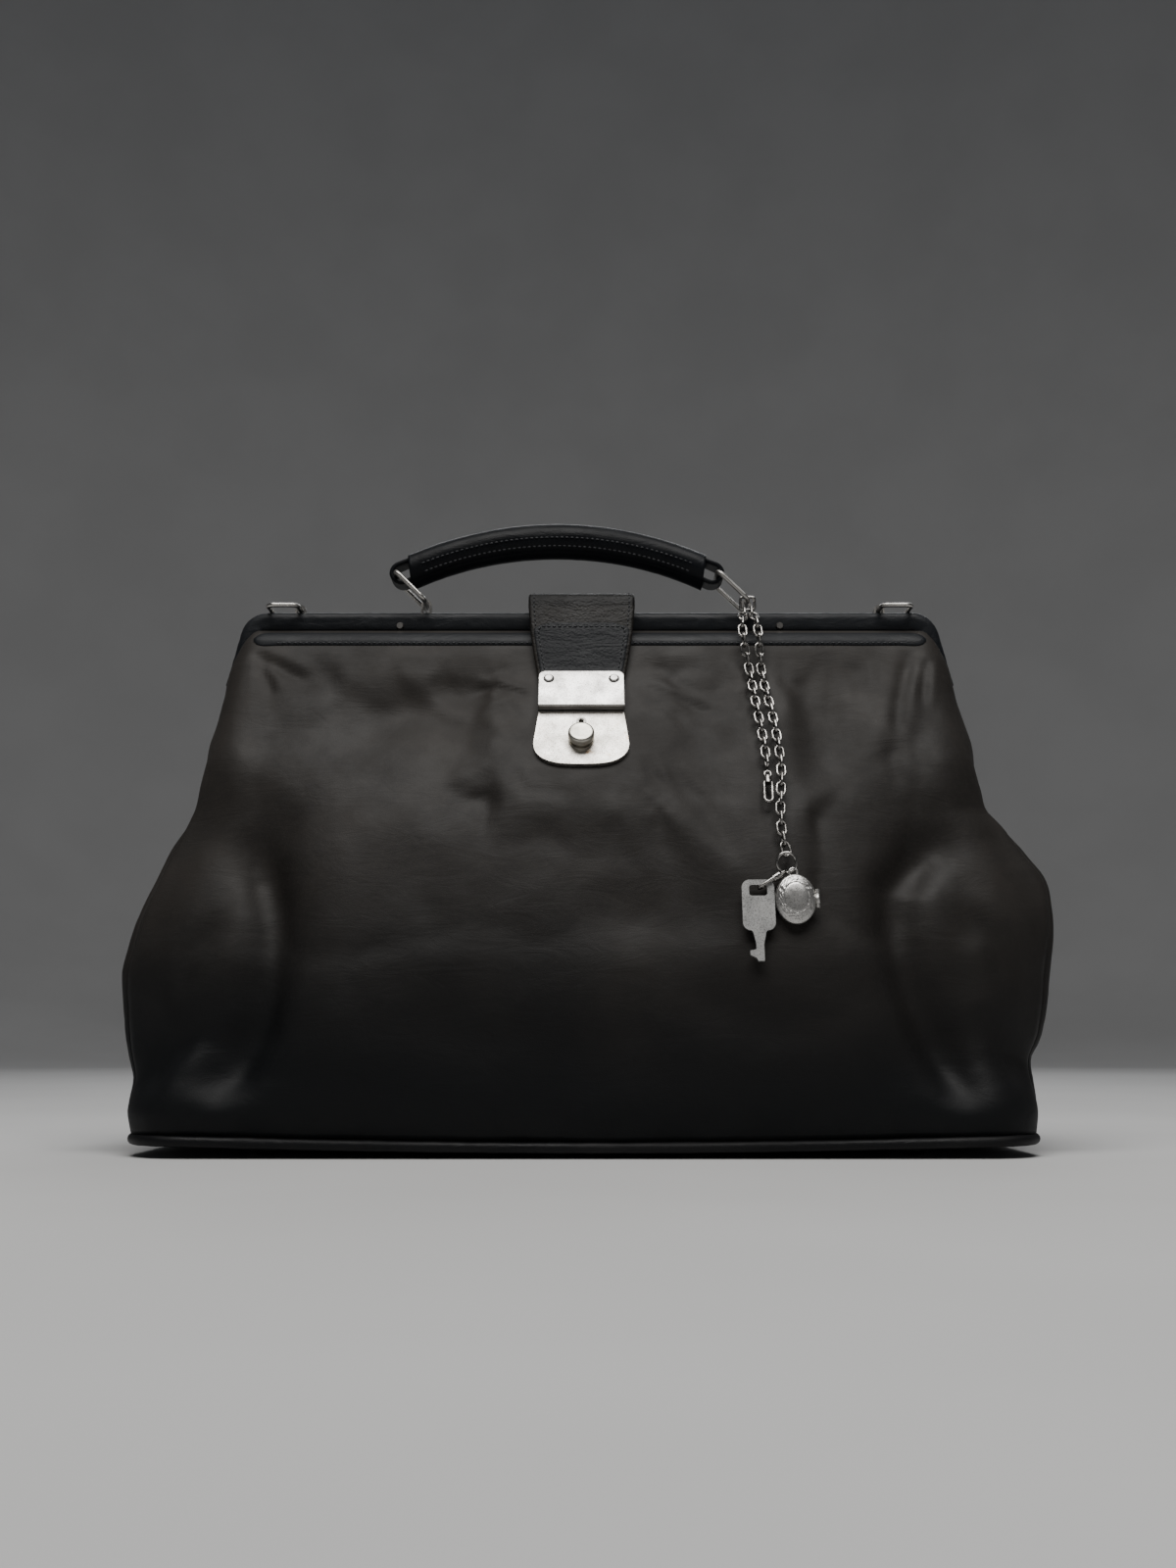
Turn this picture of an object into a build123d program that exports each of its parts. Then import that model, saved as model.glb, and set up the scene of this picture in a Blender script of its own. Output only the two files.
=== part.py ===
"""A leather doctor bag with a hinged steel frame, closing strap, lock, handle and key chain.

Millimetres. +Z is up, -Y is the front, and the origin is on the floor under the bag's centre.
The front half of the frame is fixed to the bag. The rear half opens backwards about the hinge pins.
"""

import math
import os

from build123d import *

# ---------------------------------------------------------------- body
foot_height = 6.0
foot_radius = 8.5
foot_shank_radius = 2.0
foot_from_end = 57.0  # foot centre from the base's end and from its long side
foot_from_side = 29.0
foot_clearance = 0.05
base_panel_thickness = 2.5
board_thickness = 3.0
washer_radius = 6.0
washer_thickness = 1.0
welt_radius = 2.6
wall = 2.5  # leather thickness of the panels
lining_gap = 0.3
lining_thickness = 1.2

belly_half_y = 97.0
belly_corner = 50.0
base_corner = 38.0
belly_overhang = 61.5  # how far the belly reaches past the frame's rail at each end
base_step = 31.0  # how far the base's ends lie inside the belly's
base_side_step = 8.0
slope_step = 28.0  # depth lost between the belly and the foot of the straight slope
slope_rise = 70.0
slope_stand_off = 17.5  # leather in front of the frame at the top of the slope

# ---------------------------------------------------------------- frame
frame_top_z = 290.0
cover_height = 13.0  # section of the leather-covered bar, seen from the front
cover_depth = 12.0
cover_round = 4.5
bar_height = 7.0
bar_depth = 4.0
frame_gap = 1.0  # between the two halves when shut
rail_half = 185.5  # half length of the top rail, on its centre line
leg_lean = 0.25  # outward lean of the legs, as run over rise
frame_corner = 9.5
leg_drop = 50.0  # from the frame's top to the hinge pins
ear_radius = 5.0
ear_thickness = 2.3
ear_gap = 0.5
pin_radius = 1.5
pin_running_clearance = 0.05
pin_head_radius = 2.8
pin_head_thickness = 1.3
strip_height = 8.0
strip_thickness = 1.6
rivet_from_end = 80.5
rivet_head_radius = 2.2
rivet_head_thickness = 1.4
rivet_shank_radius = 1.1

# ---------------------------------------------------------------- rings and handle
ring_wire = 1.3  # radius
ring_corner = 3.5
ring_lift = 4.5  # handle ring's lower bar above the frame
ring_y = -7.0
handle_shift = -2.0  # the handle sits a little left of the middle
handle_ring_x = 89.0
handle_ring_width = 27.0
handle_ring_length = 23.0
handle_lean = 45.0
shoulder_from_end = 24.5
shoulder_ring_width = 24.0
shoulder_ring_length = 16.5
shoulder_ring_lift = 1.6  # the shoulder rings lie flat on the frame
staple_thickness = 1.0
staple_width = 5.0
staple_clearance = 0.6
grip_radius = 9.2
core_radius = 6.0
grip_end_slope = 24.0
grip_end_gap = 10.5
loop_inner = 4.2
loop_thickness = 2.5
loop_width = 14.0
loop_clearance = 0.15

# ---------------------------------------------------------------- strap and lock
lock_x = -4.5
lock_drop = 42.5  # below the top of the slope
plate_top = 19.6
plate_bottom = -16.0
plate_half_top = 22.3
plate_half_wide = 24.6
plate_wide_at = -4.8
plate_thickness = 2.4
plate_gap = 0.2
keyhole_y = 12.5
keyhole_radius = 1.4
keyhole_ring_radius = 2.7
case_half_x = 15.5
case_bottom = -12.0
case_top = 27.0
case_depth = 8.0
case_wall = 1.0
knob_travel = 3.0
knob_radius = 6.8
knob_height = 7.0
stem_radius = 2.0
catch_half_x = 8.0
catch_thickness = 1.6
catch_bottom = -6.0
hook_half_x = 5.0
hook_depth = 5.0
hook_nose = 2.0
latch_clearance = 0.3
spring_radius = 1.5
spring_wire = 0.25
strap_thickness = 3.2
strap_stand_off = 0.9
strap_half_top = 29.5
strap_half_hasp = 25.0
facing_thickness = 1.2
facing_reach = 0.6  # how far up the front the facing goes, as a fraction of crease to shoulder
layer_gap = 0.1
hasp_bottom = 20.2
hasp_top = 44.4
crease_above_hasp = 4.0
hasp_half_x = 22.7
hasp_thickness = 1.6
hasp_corner = 5.0
hasp_lip = 1.7
hasp_rivet_x = 17.3
hasp_rivet_y = 38.8
hasp_rivet_radius = 2.4
strap_hinge_y = 11.0
strap_hinge_rise = 6.0  # above the frame
strap_arch_rise = 10.5
tail_clearance = 0.6

# ---------------------------------------------------------------- chain, key and locket
link_length = 8.8
link_width = 5.6
link_wire = 0.7  # radius
link_slack = 0.15
chain_stand_off = 3.8
chain_twist = 8.0
chain_ring_width = 9.4
chain_ring_height = 8.8
chain_ring_wire = 0.8
strand_spread = 1.9
chain_ring_y = -16.5
clasp_width = 5.6
clasp_wire = 0.8
clasp_barrel_radius = 1.9
clasp_barrel_length = 4.0
clasp_eye_length = 5.0
clasp_eye_width = 4.4
key_shift = -5.7  # middle of the bow from the ring's bar
key_drop = 171.0  # and below the frame's top
key_stand_off = 2.7
key_thickness = 1.8
bow_width = 15.8
bow_height = 25.4
bow_corner = 4.0
slot_width = 8.8
slot_height = 5.4
slot_below_top = 5.4
blade_length = 15.0
blade_half_top = 3.1
blade_half_tip = 1.9
tooth_length = 3.0
tooth_height = 2.2
locket_shift = 12.4
locket_drop = 168.0
locket_half_x = 9.9
locket_half_y = 12.5
shell_height = 3.5
shell_gap = 0.1
knuckle_radius = 1.1
knuckle_length = 5.0
locket_pin_radius = 0.5
pendant_stand_off = 0.6
bail_radius = 2.0
bail_wire = 0.6
bail_shift = 0.4

big = 600.0  # longer than the whole bag
os.makedirs("parts", exist_ok=True)


def finish(builder, node):
    """Label a finished piece and write it under its node's name."""
    builder.part.label = node
    export_step(builder.part, f"parts/{node}.step")


# ---------------------------------------------------------------- worked out from the sizes above
base_bottom_z = foot_height
board_z = base_bottom_z + base_panel_thickness
wall_bottom_z = base_bottom_z + 2 * welt_radius - 0.2
hinge_z = frame_top_z - leg_drop
bar_foot_z = hinge_z + 4.0
cover_foot_z = bar_foot_z + 3.0
rail_z = frame_top_z - cover_height / 2
rail_bottom_z = frame_top_z - cover_height
half_y = (frame_gap + cover_depth) / 2
belly_half_x = rail_half + belly_overhang
base_half_x = belly_half_x - base_step
base_half_y = belly_half_y - base_side_step
foot_x = base_half_x - foot_from_end
foot_y = base_half_y - foot_from_side
slope_top_z = hinge_z + 10.0
slope_top_y = half_y + cover_depth / 2 + slope_stand_off
slope_bottom_z = slope_top_z - slope_rise
slope_bottom_y = belly_half_y - slope_step
belly_z = slope_bottom_z / 2
lock_z = slope_top_z - lock_drop
bar_top_z = rail_z + bar_height / 2
wall_top_z = rail_bottom_z + 1.0
gusset_top_z = hinge_z - ear_radius + 1.0
rear_wall_top_z = hinge_z - 10.0
yoke_bottom_z = slope_top_z  # above the pins, so that it swings clear of the gussets
lock_lean = math.atan2(slope_bottom_y - slope_top_y, slope_top_z - slope_bottom_z)


def slope_y(z):
    """Distance of the front panel's straight slope from the centre plane, at height z."""
    return slope_bottom_y - (z - slope_bottom_z) * math.tan(lock_lean)


def leg_x(z):
    """Distance of a frame leg's centre line from the bag's centre, at height z."""
    return rail_half + leg_lean * (rail_z - z)


# Horizontal sections of the leather body: height, half length, half depth, corner radius.
body_rows = [
    (wall_bottom_z, base_half_x, base_half_y, base_corner),
    (wall_bottom_z + 12, base_half_x + 16, base_half_y + 5, base_corner + 6),
    (belly_z - 40, belly_half_x - 5, belly_half_y, belly_corner - 2),
    (belly_z, belly_half_x, belly_half_y, belly_corner),
    (belly_z + 40, belly_half_x - 11, belly_half_y - 8, belly_corner - 4),
    (slope_bottom_z, belly_half_x - 29, slope_bottom_y, belly_corner - 14),
    (slope_top_z - 25, leg_x(slope_top_z - 25) + 6.025, slope_y(slope_top_z - 25), belly_corner - 24),
    (slope_top_z, leg_x(slope_top_z) + 8.275, slope_top_y, belly_corner - 32),
    (slope_top_z + 20, leg_x(slope_top_z + 20) + 6.775, slope_top_y - 9, belly_corner - 36),
    (wall_top_z, leg_x(wall_top_z) + 5.575, slope_top_y - 15, belly_corner - 39),
]


def body_block(inset):
    """The solid envelope of the leather body, drawn in on all sides by inset."""
    with BuildPart() as block:
        for z, half_x, half_depth, corner in body_rows:
            with BuildSketch(Plane.XY.offset(z)):
                RectangleRounded(2 * (half_x - inset), 2 * (half_depth - inset), corner - inset)
        loft(ruled=True)
    return block.part


with BuildPart() as shell_builder:
    add(body_block(0))
    add(body_block(wall), mode=Mode.SUBTRACT)
shell = shell_builder.part

# The gussets' outline, seen from the side. Above them the frame's legs and hinges stand.
gusset_outline = [
    (-(base_half_y - 26), wall_bottom_z - 1),
    (-(belly_half_y - 28), belly_z),
    (-(slope_bottom_y - 24), slope_bottom_z),
    (-(cover_depth + 1.5), gusset_top_z - 12),
    (-(cover_depth + 1.5), gusset_top_z),
]
gusset_outline += [(-y, z) for y, z in reversed(gusset_outline)]

with BuildPart() as gusset_prism:
    with BuildSketch(Plane.YZ.offset(-big / 2)):
        with BuildLine():
            Polyline(*gusset_outline, close=True)
        make_face()
    extrude(amount=big)

with BuildPart() as leg_room:
    with Locations((0, 0, gusset_top_z)):
        Box(big, 2 * (cover_depth + 1.5), 100, align=(Align.CENTER, Align.CENTER, Align.MIN))


def lock_plane(height=0.0):
    """The front slope's plane at the lock: x to the right, y up the slope, z out of the bag."""
    origin = Vector(lock_x, -slope_y(lock_z), lock_z)
    normal = Vector(0, -math.cos(lock_lean), math.sin(lock_lean))
    return Plane(origin=origin + normal * height, x_dir=(1, 0, 0), z_dir=normal)


def case_room(clearance, depth):
    """The block that the lock case takes out of the leather and the lining."""
    with BuildPart() as room:
        with BuildSketch(lock_plane(1.0)):
            with Locations((0, (case_top + case_bottom) / 2)):
                Rectangle(2 * (case_half_x + clearance), case_top - case_bottom + 2 * clearance)
        extrude(amount=-(depth + 1.0))
    return room.part


# ---------------------------------------------------------------- body: base
with BuildPart() as base_panel:
    with BuildSketch(Plane.XY.offset(base_bottom_z)):
        RectangleRounded(2 * (base_half_x - 2), 2 * (base_half_y - 2), base_corner - 2)
    extrude(amount=base_panel_thickness)
    with Locations(Plane.XY.offset(board_z)):
        with GridLocations(2 * foot_x, 2 * foot_y, 2, 2):
            Hole(foot_shank_radius + foot_clearance)
finish(base_panel, "base_panel")

with BuildPart() as base_board:
    with BuildSketch(Plane.XY.offset(board_z)):
        board_inset = wall + 1.0
        RectangleRounded(
            2 * (base_half_x - board_inset), 2 * (base_half_y - board_inset), base_corner - board_inset
        )
    extrude(amount=board_thickness)
    with Locations(Plane.XY.offset(board_z + board_thickness)):
        with GridLocations(2 * foot_x, 2 * foot_y, 2, 2):
            Hole(foot_shank_radius + foot_clearance)
finish(base_board, "base_board")

with BuildPart() as base_welt:
    welt_x = base_half_x - 2 + welt_radius
    welt_y = base_half_y - 2 + welt_radius
    with BuildSketch(Plane.XY.offset(base_bottom_z - 0.4)) as welt_sketch:
        welt_corner = base_corner - 2 + welt_radius
        RectangleRounded(2 * (welt_x + welt_radius), 2 * (welt_y + welt_radius), welt_corner + welt_radius)
        RectangleRounded(
            2 * (welt_x - welt_radius), 2 * (welt_y - welt_radius), welt_corner - welt_radius,
            mode=Mode.SUBTRACT,
        )
    extrude(amount=2 * welt_radius)
    outer_rims = base_welt.edges().group_by(Axis.Z)
    fillet([*outer_rims[0], *outer_rims[-1]], welt_radius * 0.8)
finish(base_welt, "base_welt")

foot_top_z = board_z + board_thickness + washer_thickness
with BuildPart() as foot:
    with BuildSketch(Plane.XZ):
        with BuildLine():
            Line((0, foot_top_z), (0, 0))
            Line((0, 0), (foot_radius * 0.45, 0))
            Spline(
                (foot_radius * 0.45, 0), (foot_radius * 0.9, foot_height * 0.5), (foot_radius, foot_height),
                tangents=[(1, 0), (0, 1)],
            )
            Polyline(
                (foot_radius, foot_height), (foot_shank_radius, foot_height),
                (foot_shank_radius, foot_top_z), (0, foot_top_z),
            )
        make_face()
    revolve(axis=Axis.Z)

with BuildPart() as feet:
    with GridLocations(2 * foot_x, 2 * foot_y, 2, 2):
        add(foot.part)
finish(feet, "feet")

with BuildPart() as foot_washers:
    with BuildSketch(Plane.XY.offset(board_z + board_thickness)):
        with GridLocations(2 * foot_x, 2 * foot_y, 2, 2):
            Circle(washer_radius)
            Circle(foot_shank_radius + foot_clearance, mode=Mode.SUBTRACT)
    extrude(amount=washer_thickness)
finish(foot_washers, "foot_washers")

# ---------------------------------------------------------------- body: leather panels and lining
with BuildPart() as front_panel:
    add(shell)
    add(gusset_prism.part, mode=Mode.SUBTRACT)
    add(leg_room.part, mode=Mode.SUBTRACT)
    split(bisect_by=Plane.XZ, keep=Keep.TOP)
    split(bisect_by=Plane.XY.offset(rail_bottom_z - 0.2), keep=Keep.BOTTOM)
    add(case_room(0.3, case_depth), mode=Mode.SUBTRACT)
finish(front_panel, "front_panel")

with BuildPart() as rear_wall:
    add(shell)
    add(gusset_prism.part, mode=Mode.SUBTRACT)
    add(leg_room.part, mode=Mode.SUBTRACT)
    split(bisect_by=Plane.XZ, keep=Keep.BOTTOM)

with BuildPart() as rear_panel:
    add(rear_wall.part)
    split(bisect_by=Plane.XY.offset(rear_wall_top_z), keep=Keep.BOTTOM)
finish(rear_panel, "rear_panel")

with BuildPart() as rear_yoke:
    add(rear_wall.part)
    split(bisect_by=Plane.XY.offset(yoke_bottom_z), keep=Keep.TOP)
    split(bisect_by=Plane.XY.offset(rail_bottom_z - 0.2), keep=Keep.BOTTOM)
finish(rear_yoke, "rear_yoke")

for side, side_name in ((-1, "left"), (1, "right")):
    with BuildPart() as gusset:
        add(shell)
        add(gusset_prism.part, mode=Mode.INTERSECT)
        split(bisect_by=Plane.YZ, keep=Keep.TOP if side > 0 else Keep.BOTTOM)
    finish(gusset, f"{side_name}_gusset")

lining_bottom_z = board_z + board_thickness + washer_thickness + 0.2
lining_top_z = lock_z + 8.0
with BuildPart() as lining_hollow:
    add(body_block(wall + lining_gap + lining_thickness))
    split(bisect_by=Plane.XY.offset(lining_bottom_z + lining_thickness), keep=Keep.TOP)

with BuildPart() as lining:
    add(body_block(wall + lining_gap))
    split(bisect_by=Plane.XY.offset(lining_bottom_z), keep=Keep.TOP)
    add(lining_hollow.part, mode=Mode.SUBTRACT)
    split(bisect_by=Plane.XY.offset(lining_top_z), keep=Keep.BOTTOM)
    add(case_room(0.6, case_depth + 0.6), mode=Mode.SUBTRACT)
finish(lining, "lining")

# ---------------------------------------------------------------- frame halves


def frame_sweep(depth_y, foot_z, section_height, section_depth, rounding=0.0):
    """An inverted U along the frame's centre line, with its feet at foot_z."""
    with BuildPart() as swept:
        with BuildLine(Plane.XZ.offset(-depth_y)) as path:
            FilletPolyline(
                (-leg_x(foot_z), foot_z), (-rail_half, rail_z), (rail_half, rail_z), (leg_x(foot_z), foot_z),
                radius=frame_corner,
            )
        start = path.wire() @ 0
        with BuildSketch(Plane(origin=start, x_dir=(0, 1, 0), z_dir=path.wire() % 0)):
            if rounding:
                RectangleRounded(section_depth, section_height, rounding)
            else:
                Rectangle(section_depth, section_height)
        sweep(path=path.wire())
    return swept.part


def hinge_ear(side, depth_y, inner_x):
    """The flat eye at a leg's foot that the hinge pin passes through."""
    with BuildPart() as ear:
        with BuildSketch(Plane.YZ.offset(inner_x if side > 0 else -inner_x - ear_thickness)):
            with Locations((0, hinge_z)):
                Circle(ear_radius)
            with Locations((depth_y, bar_foot_z + 1.0)):
                Rectangle(bar_depth, 2.0)
            make_hull()
        extrude(amount=ear_thickness)
    return ear.part


def wall_y(sign, z, off):
    """The leather's outer face under the frame, moved off by off: sign is 1 at the rear."""
    (z_low, _, y_low, _), (z_high, _, y_high, _) = body_rows[-2:]
    return sign * (y_low + (y_high - y_low) * (z - z_low) / (z_high - z_low) + off)


ear_x = {"front": leg_x(bar_foot_z) - ear_thickness - 0.9}
ear_x["rear"] = ear_x["front"] + ear_thickness + ear_gap
ear_bore = {"front": pin_radius, "rear": pin_radius + pin_running_clearance}
half_sign = {"front": -1, "rear": 1}
rivet_x = rail_half - rivet_from_end
rivet_z = bar_top_z - bar_height + 1.4
strip_top_z = rail_bottom_z - 0.5
strip_bottom_z = strip_top_z - strip_height
staple_half = ring_wire + staple_clearance
ring_z = frame_top_z + ring_lift
shoulder_ring_z = frame_top_z + shoulder_ring_lift
handle_pivots = {side: handle_shift + side * handle_ring_x for side in (-1, 1)}
shoulder_pivots = {side: side * (rail_half - shoulder_from_end) for side in (-1, 1)}

with BuildPart() as staple_legs:
    for staple_x in (*handle_pivots.values(), *shoulder_pivots.values()):
        for leg in (-1, 1):
            with Locations((staple_x + leg * (staple_half + staple_thickness / 2), ring_y, bar_top_z)):
                Box(staple_thickness, staple_width, 10, align=(Align.CENTER, Align.CENTER, Align.MIN))

for half in ("front", "rear"):
    sign = half_sign[half]
    with BuildPart() as frame_bar:
        add(frame_sweep(sign * half_y, bar_foot_z, bar_height, bar_depth))
        for side in (-1, 1):
            add(hinge_ear(side, sign * half_y, ear_x[half]))
        with BuildSketch(Plane.YZ.offset(-big / 2)):
            with Locations((0, hinge_z)):
                Circle(ear_bore[half])
        extrude(amount=big, mode=Mode.SUBTRACT)
    finish(frame_bar, f"{half}_frame")

    with BuildPart() as frame_cover:
        add(frame_sweep(sign * half_y, cover_foot_z, cover_height, cover_depth, cover_round))
        add(frame_sweep(sign * half_y, bar_foot_z - 5, bar_height, bar_depth), mode=Mode.SUBTRACT)
        if half == "front":
            add(staple_legs.part, mode=Mode.SUBTRACT)
        for rivet_side in (-1, 1):
            with Locations((rivet_side * rivet_x, sign * half_y, rivet_z)):
                Cylinder(rivet_shank_radius, 2 * cover_depth, rotation=(90, 0, 0), mode=Mode.SUBTRACT)
    finish(frame_cover, f"{half}_frame_cover")

    head_y = sign * (half_y + cover_depth / 2)
    with BuildPart() as frame_rivets:
        for rivet_side in (-1, 1):
            with BuildSketch(Plane.XZ.offset(-sign * (half_y + bar_depth / 2))):
                with Locations((rivet_side * rivet_x, rivet_z)):
                    Circle(rivet_shank_radius)
            extrude(amount=-sign * (cover_depth - bar_depth) / 2)
            with BuildSketch(Plane.XZ.offset(-head_y)):
                with Locations((rivet_side * rivet_x, rivet_z)):
                    Circle(rivet_head_radius)
            extrude(amount=-sign * rivet_head_thickness, taper=20)
    finish(frame_rivets, f"{half}_frame_rivets")

    with BuildPart() as strip:
        with BuildSketch(Plane.YZ.offset(-rail_half + cover_height / 2)):
            with BuildLine():
                Polyline(
                    (wall_y(sign, strip_bottom_z, 0.2), strip_bottom_z),
                    (wall_y(sign, strip_top_z, 0.2), strip_top_z),
                    (wall_y(sign, strip_top_z, 0.2 + strip_thickness), strip_top_z),
                    (wall_y(sign, strip_bottom_z, 0.2 + strip_thickness), strip_bottom_z),
                    close=True,
                )
            make_face()
        extrude(amount=2 * rail_half - cover_height)
    finish(strip, f"{half}_strip")

with BuildPart() as hinge_pins:
    pin_start = ear_x["front"] - pin_head_thickness
    pin_end = ear_x["rear"] + ear_thickness + 0.2 + pin_head_thickness
    for side in (-1, 1):
        with BuildSketch(Plane.YZ.offset(side * pin_start)):
            with Locations((0, hinge_z)):
                Circle(pin_radius)
        extrude(amount=side * (pin_end - pin_start))
        for head_x in (pin_start, pin_end - pin_head_thickness):
            with BuildSketch(Plane.YZ.offset(side * head_x)):
                with Locations((0, hinge_z)):
                    Circle(pin_head_radius)
            extrude(amount=side * pin_head_thickness)
finish(hinge_pins, "hinge_pins")

# ---------------------------------------------------------------- staples and rings


def staples(centre_x, bar_z, node):
    """Two arched staples whose feet stand on the front bar."""
    with BuildPart() as pair:
        for staple_x in centre_x:
            with BuildSketch(Plane.XZ.offset(-ring_y + staple_width / 2)):
                for half_width, arch_mode in (
                    (staple_half + staple_thickness, Mode.ADD),
                    (staple_half, Mode.SUBTRACT),
                ):
                    with Locations((staple_x, bar_z)):
                        Circle(half_width, mode=arch_mode)
                        Rectangle(
                            2 * half_width, bar_z - bar_top_z,
                            align=(Align.CENTER, Align.MAX), mode=arch_mode,
                        )
            extrude(amount=-staple_width)
    finish(pair, node)


def ring(pivot, lean, width, length, node):
    """A rectangular wire ring. Its lower bar lies along Y at pivot; lean is from upright, towards +X."""
    angle = math.radians(lean)
    upward = Vector(math.sin(angle), 0, math.cos(angle))
    ring_plane = Plane(origin=pivot, x_dir=(0, 1, 0), z_dir=Vector(0, 1, 0).cross(upward))
    with BuildPart() as loop:
        with BuildLine(ring_plane) as path:
            FilletPolyline(
                (-width / 2, 0), (width / 2, 0), (width / 2, length), (-width / 2, length),
                radius=ring_corner, close=True,
            )
        with BuildSketch(Plane(origin=path.wire() @ 0, z_dir=path.wire() % 0)):
            Circle(ring_wire)
        sweep(path=path.wire())
    finish(loop, node)


staples(handle_pivots.values(), ring_z, "handle_staples")
staples(shoulder_pivots.values(), shoulder_ring_z, "shoulder_staples")

for side, side_name in ((-1, "left"), (1, "right")):
    ring((handle_pivots[side], ring_y, ring_z), -handle_lean, handle_ring_width, handle_ring_length,
         f"handle_ring_{side_name}")
    ring((shoulder_pivots[side], ring_y, shoulder_ring_z), side * 90, shoulder_ring_width,
         shoulder_ring_length, f"shoulder_ring_{side_name}")

# ---------------------------------------------------------------- handle
ring_top_z = ring_z + handle_ring_length * math.cos(math.radians(handle_lean))
ring_top_shift = -handle_ring_length * math.sin(math.radians(handle_lean))
handle_x = handle_shift + ring_top_shift
grip_slope = math.radians(grip_end_slope)
grip_half = handle_ring_x - grip_end_gap * math.cos(grip_slope)
grip_end_z = ring_top_z + grip_end_gap * math.sin(grip_slope)
grip_top_z = grip_end_z + grip_half * math.tan(grip_slope / 2)


def grip_sweep(radius):
    """A round bar along the handle's arch."""
    with BuildPart() as bar:
        with BuildLine(Plane.XZ.offset(-ring_y)) as path:
            ThreePointArc(
                (handle_x - grip_half, grip_end_z), (handle_x, grip_top_z), (handle_x + grip_half, grip_end_z)
            )
        with BuildSketch(Plane(origin=path.wire() @ 0, z_dir=path.wire() % 0)):
            Circle(radius)
        sweep(path=path.wire())
    return bar.part


with BuildPart() as handle_core:
    add(grip_sweep(core_radius))
finish(handle_core, "handle_core")

with BuildPart() as handle_cover:
    add(grip_sweep(grip_radius))
    add(grip_sweep(core_radius), mode=Mode.SUBTRACT)
finish(handle_cover, "handle_cover")

loop_outer = loop_inner + loop_thickness
for side, side_name in ((-1, "left"), (1, "right")):
    bar_centre = Vector(handle_pivots[side] + ring_top_shift, ring_y, ring_top_z)
    inward = Vector(-side * math.cos(grip_slope), 0, math.sin(grip_slope))
    eye = bar_centre + inward * (loop_inner - ring_wire - loop_clearance)
    loop_plane = Plane(origin=eye, x_dir=inward, z_dir=(0, -1, 0))
    reach = grip_end_gap - (loop_inner - ring_wire - loop_clearance)
    with BuildPart() as handle_loop:
        with BuildSketch(loop_plane):
            for radius, loop_mode in ((loop_outer, Mode.ADD), (loop_inner, Mode.SUBTRACT)):
                Circle(radius, mode=loop_mode)
                Rectangle(reach, 2 * radius, align=(Align.MIN, Align.CENTER), mode=loop_mode)
        extrude(amount=loop_width / 2, both=True)
    finish(handle_loop, f"handle_loop_{side_name}")

# ---------------------------------------------------------------- strap
strap_mid = strap_stand_off + strap_thickness / 2
strap_end = hasp_bottom + hasp_lip + layer_gap
strap_hinge_z = frame_top_z + strap_hinge_rise
strap_arch_z = frame_top_z + strap_arch_rise


def on_slope(along, height):
    """The point at a distance up the lock's slope and off it, as Y and Z."""
    point = lock_plane(height).from_local_coords((0, along, 0))
    return (point.Y, point.Z)


def band(points, radius, thickness, half_width):
    """A strip of leather of even thickness along a profile in Y and Z, narrower towards the hasp."""
    with BuildPart() as strip_part:
        with BuildSketch(Plane.YZ.offset(lock_x)):
            with BuildLine():
                FilletPolyline(*points, radius=radius)
            trace(line_width=thickness)
        extrude(amount=half_width, both=True)
    return strip_part.part


def strap_taper(margin):
    """The strap's outline from the front, with its edges moved in by margin."""
    low_z = on_slope(0, 0)[1]
    with BuildPart() as taper:
        with BuildSketch(Plane.XZ.offset(-big / 2)):
            with BuildLine():
                half_low = strap_half_hasp - margin
                half_high = strap_half_top - margin
                Polyline(
                    (lock_x - half_low, low_z), (lock_x + half_low, low_z),
                    (lock_x + half_high, frame_top_z), (lock_x + half_high, frame_top_z + 30),
                    (lock_x - half_high, frame_top_z + 30), (lock_x - half_high, frame_top_z),
                    close=True,
                )
            make_face()
        extrude(amount=big)
    return taper.part


crease = on_slope(hasp_top + crease_above_hasp, strap_mid)
shoulder = (-(half_y + cover_depth / 2 + 5.0), strap_arch_z - 3.5)
strap_points = [(strap_hinge_y, strap_hinge_z), (-3.0, strap_arch_z), shoulder, crease,
                on_slope(strap_end, strap_mid)]


def hasp_bores(radius):
    """The two rivet holes through the strap's end."""
    with BuildPart() as bores:
        with BuildSketch(lock_plane(-1.0)):
            with Locations((-hasp_rivet_x, hasp_rivet_y), (hasp_rivet_x, hasp_rivet_y)):
                Circle(radius)
        extrude(amount=20)
    return bores.part


with BuildPart() as strap:
    add(band(strap_points, 5.0, strap_thickness, strap_half_top))
    add(strap_taper(0), mode=Mode.INTERSECT)
    add(hasp_bores(rivet_shank_radius), mode=Mode.SUBTRACT)
finish(strap, "strap")

facing_mid = strap_mid + strap_thickness / 2 + layer_gap + facing_thickness / 2
facing_off = facing_mid - strap_mid
front_lean = math.atan2(shoulder[0] - crease[0], shoulder[1] - crease[1])
facing_crease = hasp_top + crease_above_hasp - facing_off * math.tan((lock_lean - front_lean) / 2)
facing_top = (
    crease[0] + (shoulder[0] - crease[0]) * facing_reach - facing_off * math.cos(front_lean),
    crease[1] + (shoulder[1] - crease[1]) * facing_reach + facing_off * math.sin(front_lean),
)
facing_points = [facing_top, on_slope(facing_crease, facing_mid), on_slope(strap_end, facing_mid)]

with BuildPart() as strap_facing:
    add(band(facing_points, 5.0, facing_thickness, strap_half_top))
    add(strap_taper(2.0), mode=Mode.INTERSECT)
    add(hasp_bores(rivet_shank_radius), mode=Mode.SUBTRACT)
finish(strap_facing, "strap_facing")

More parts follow.
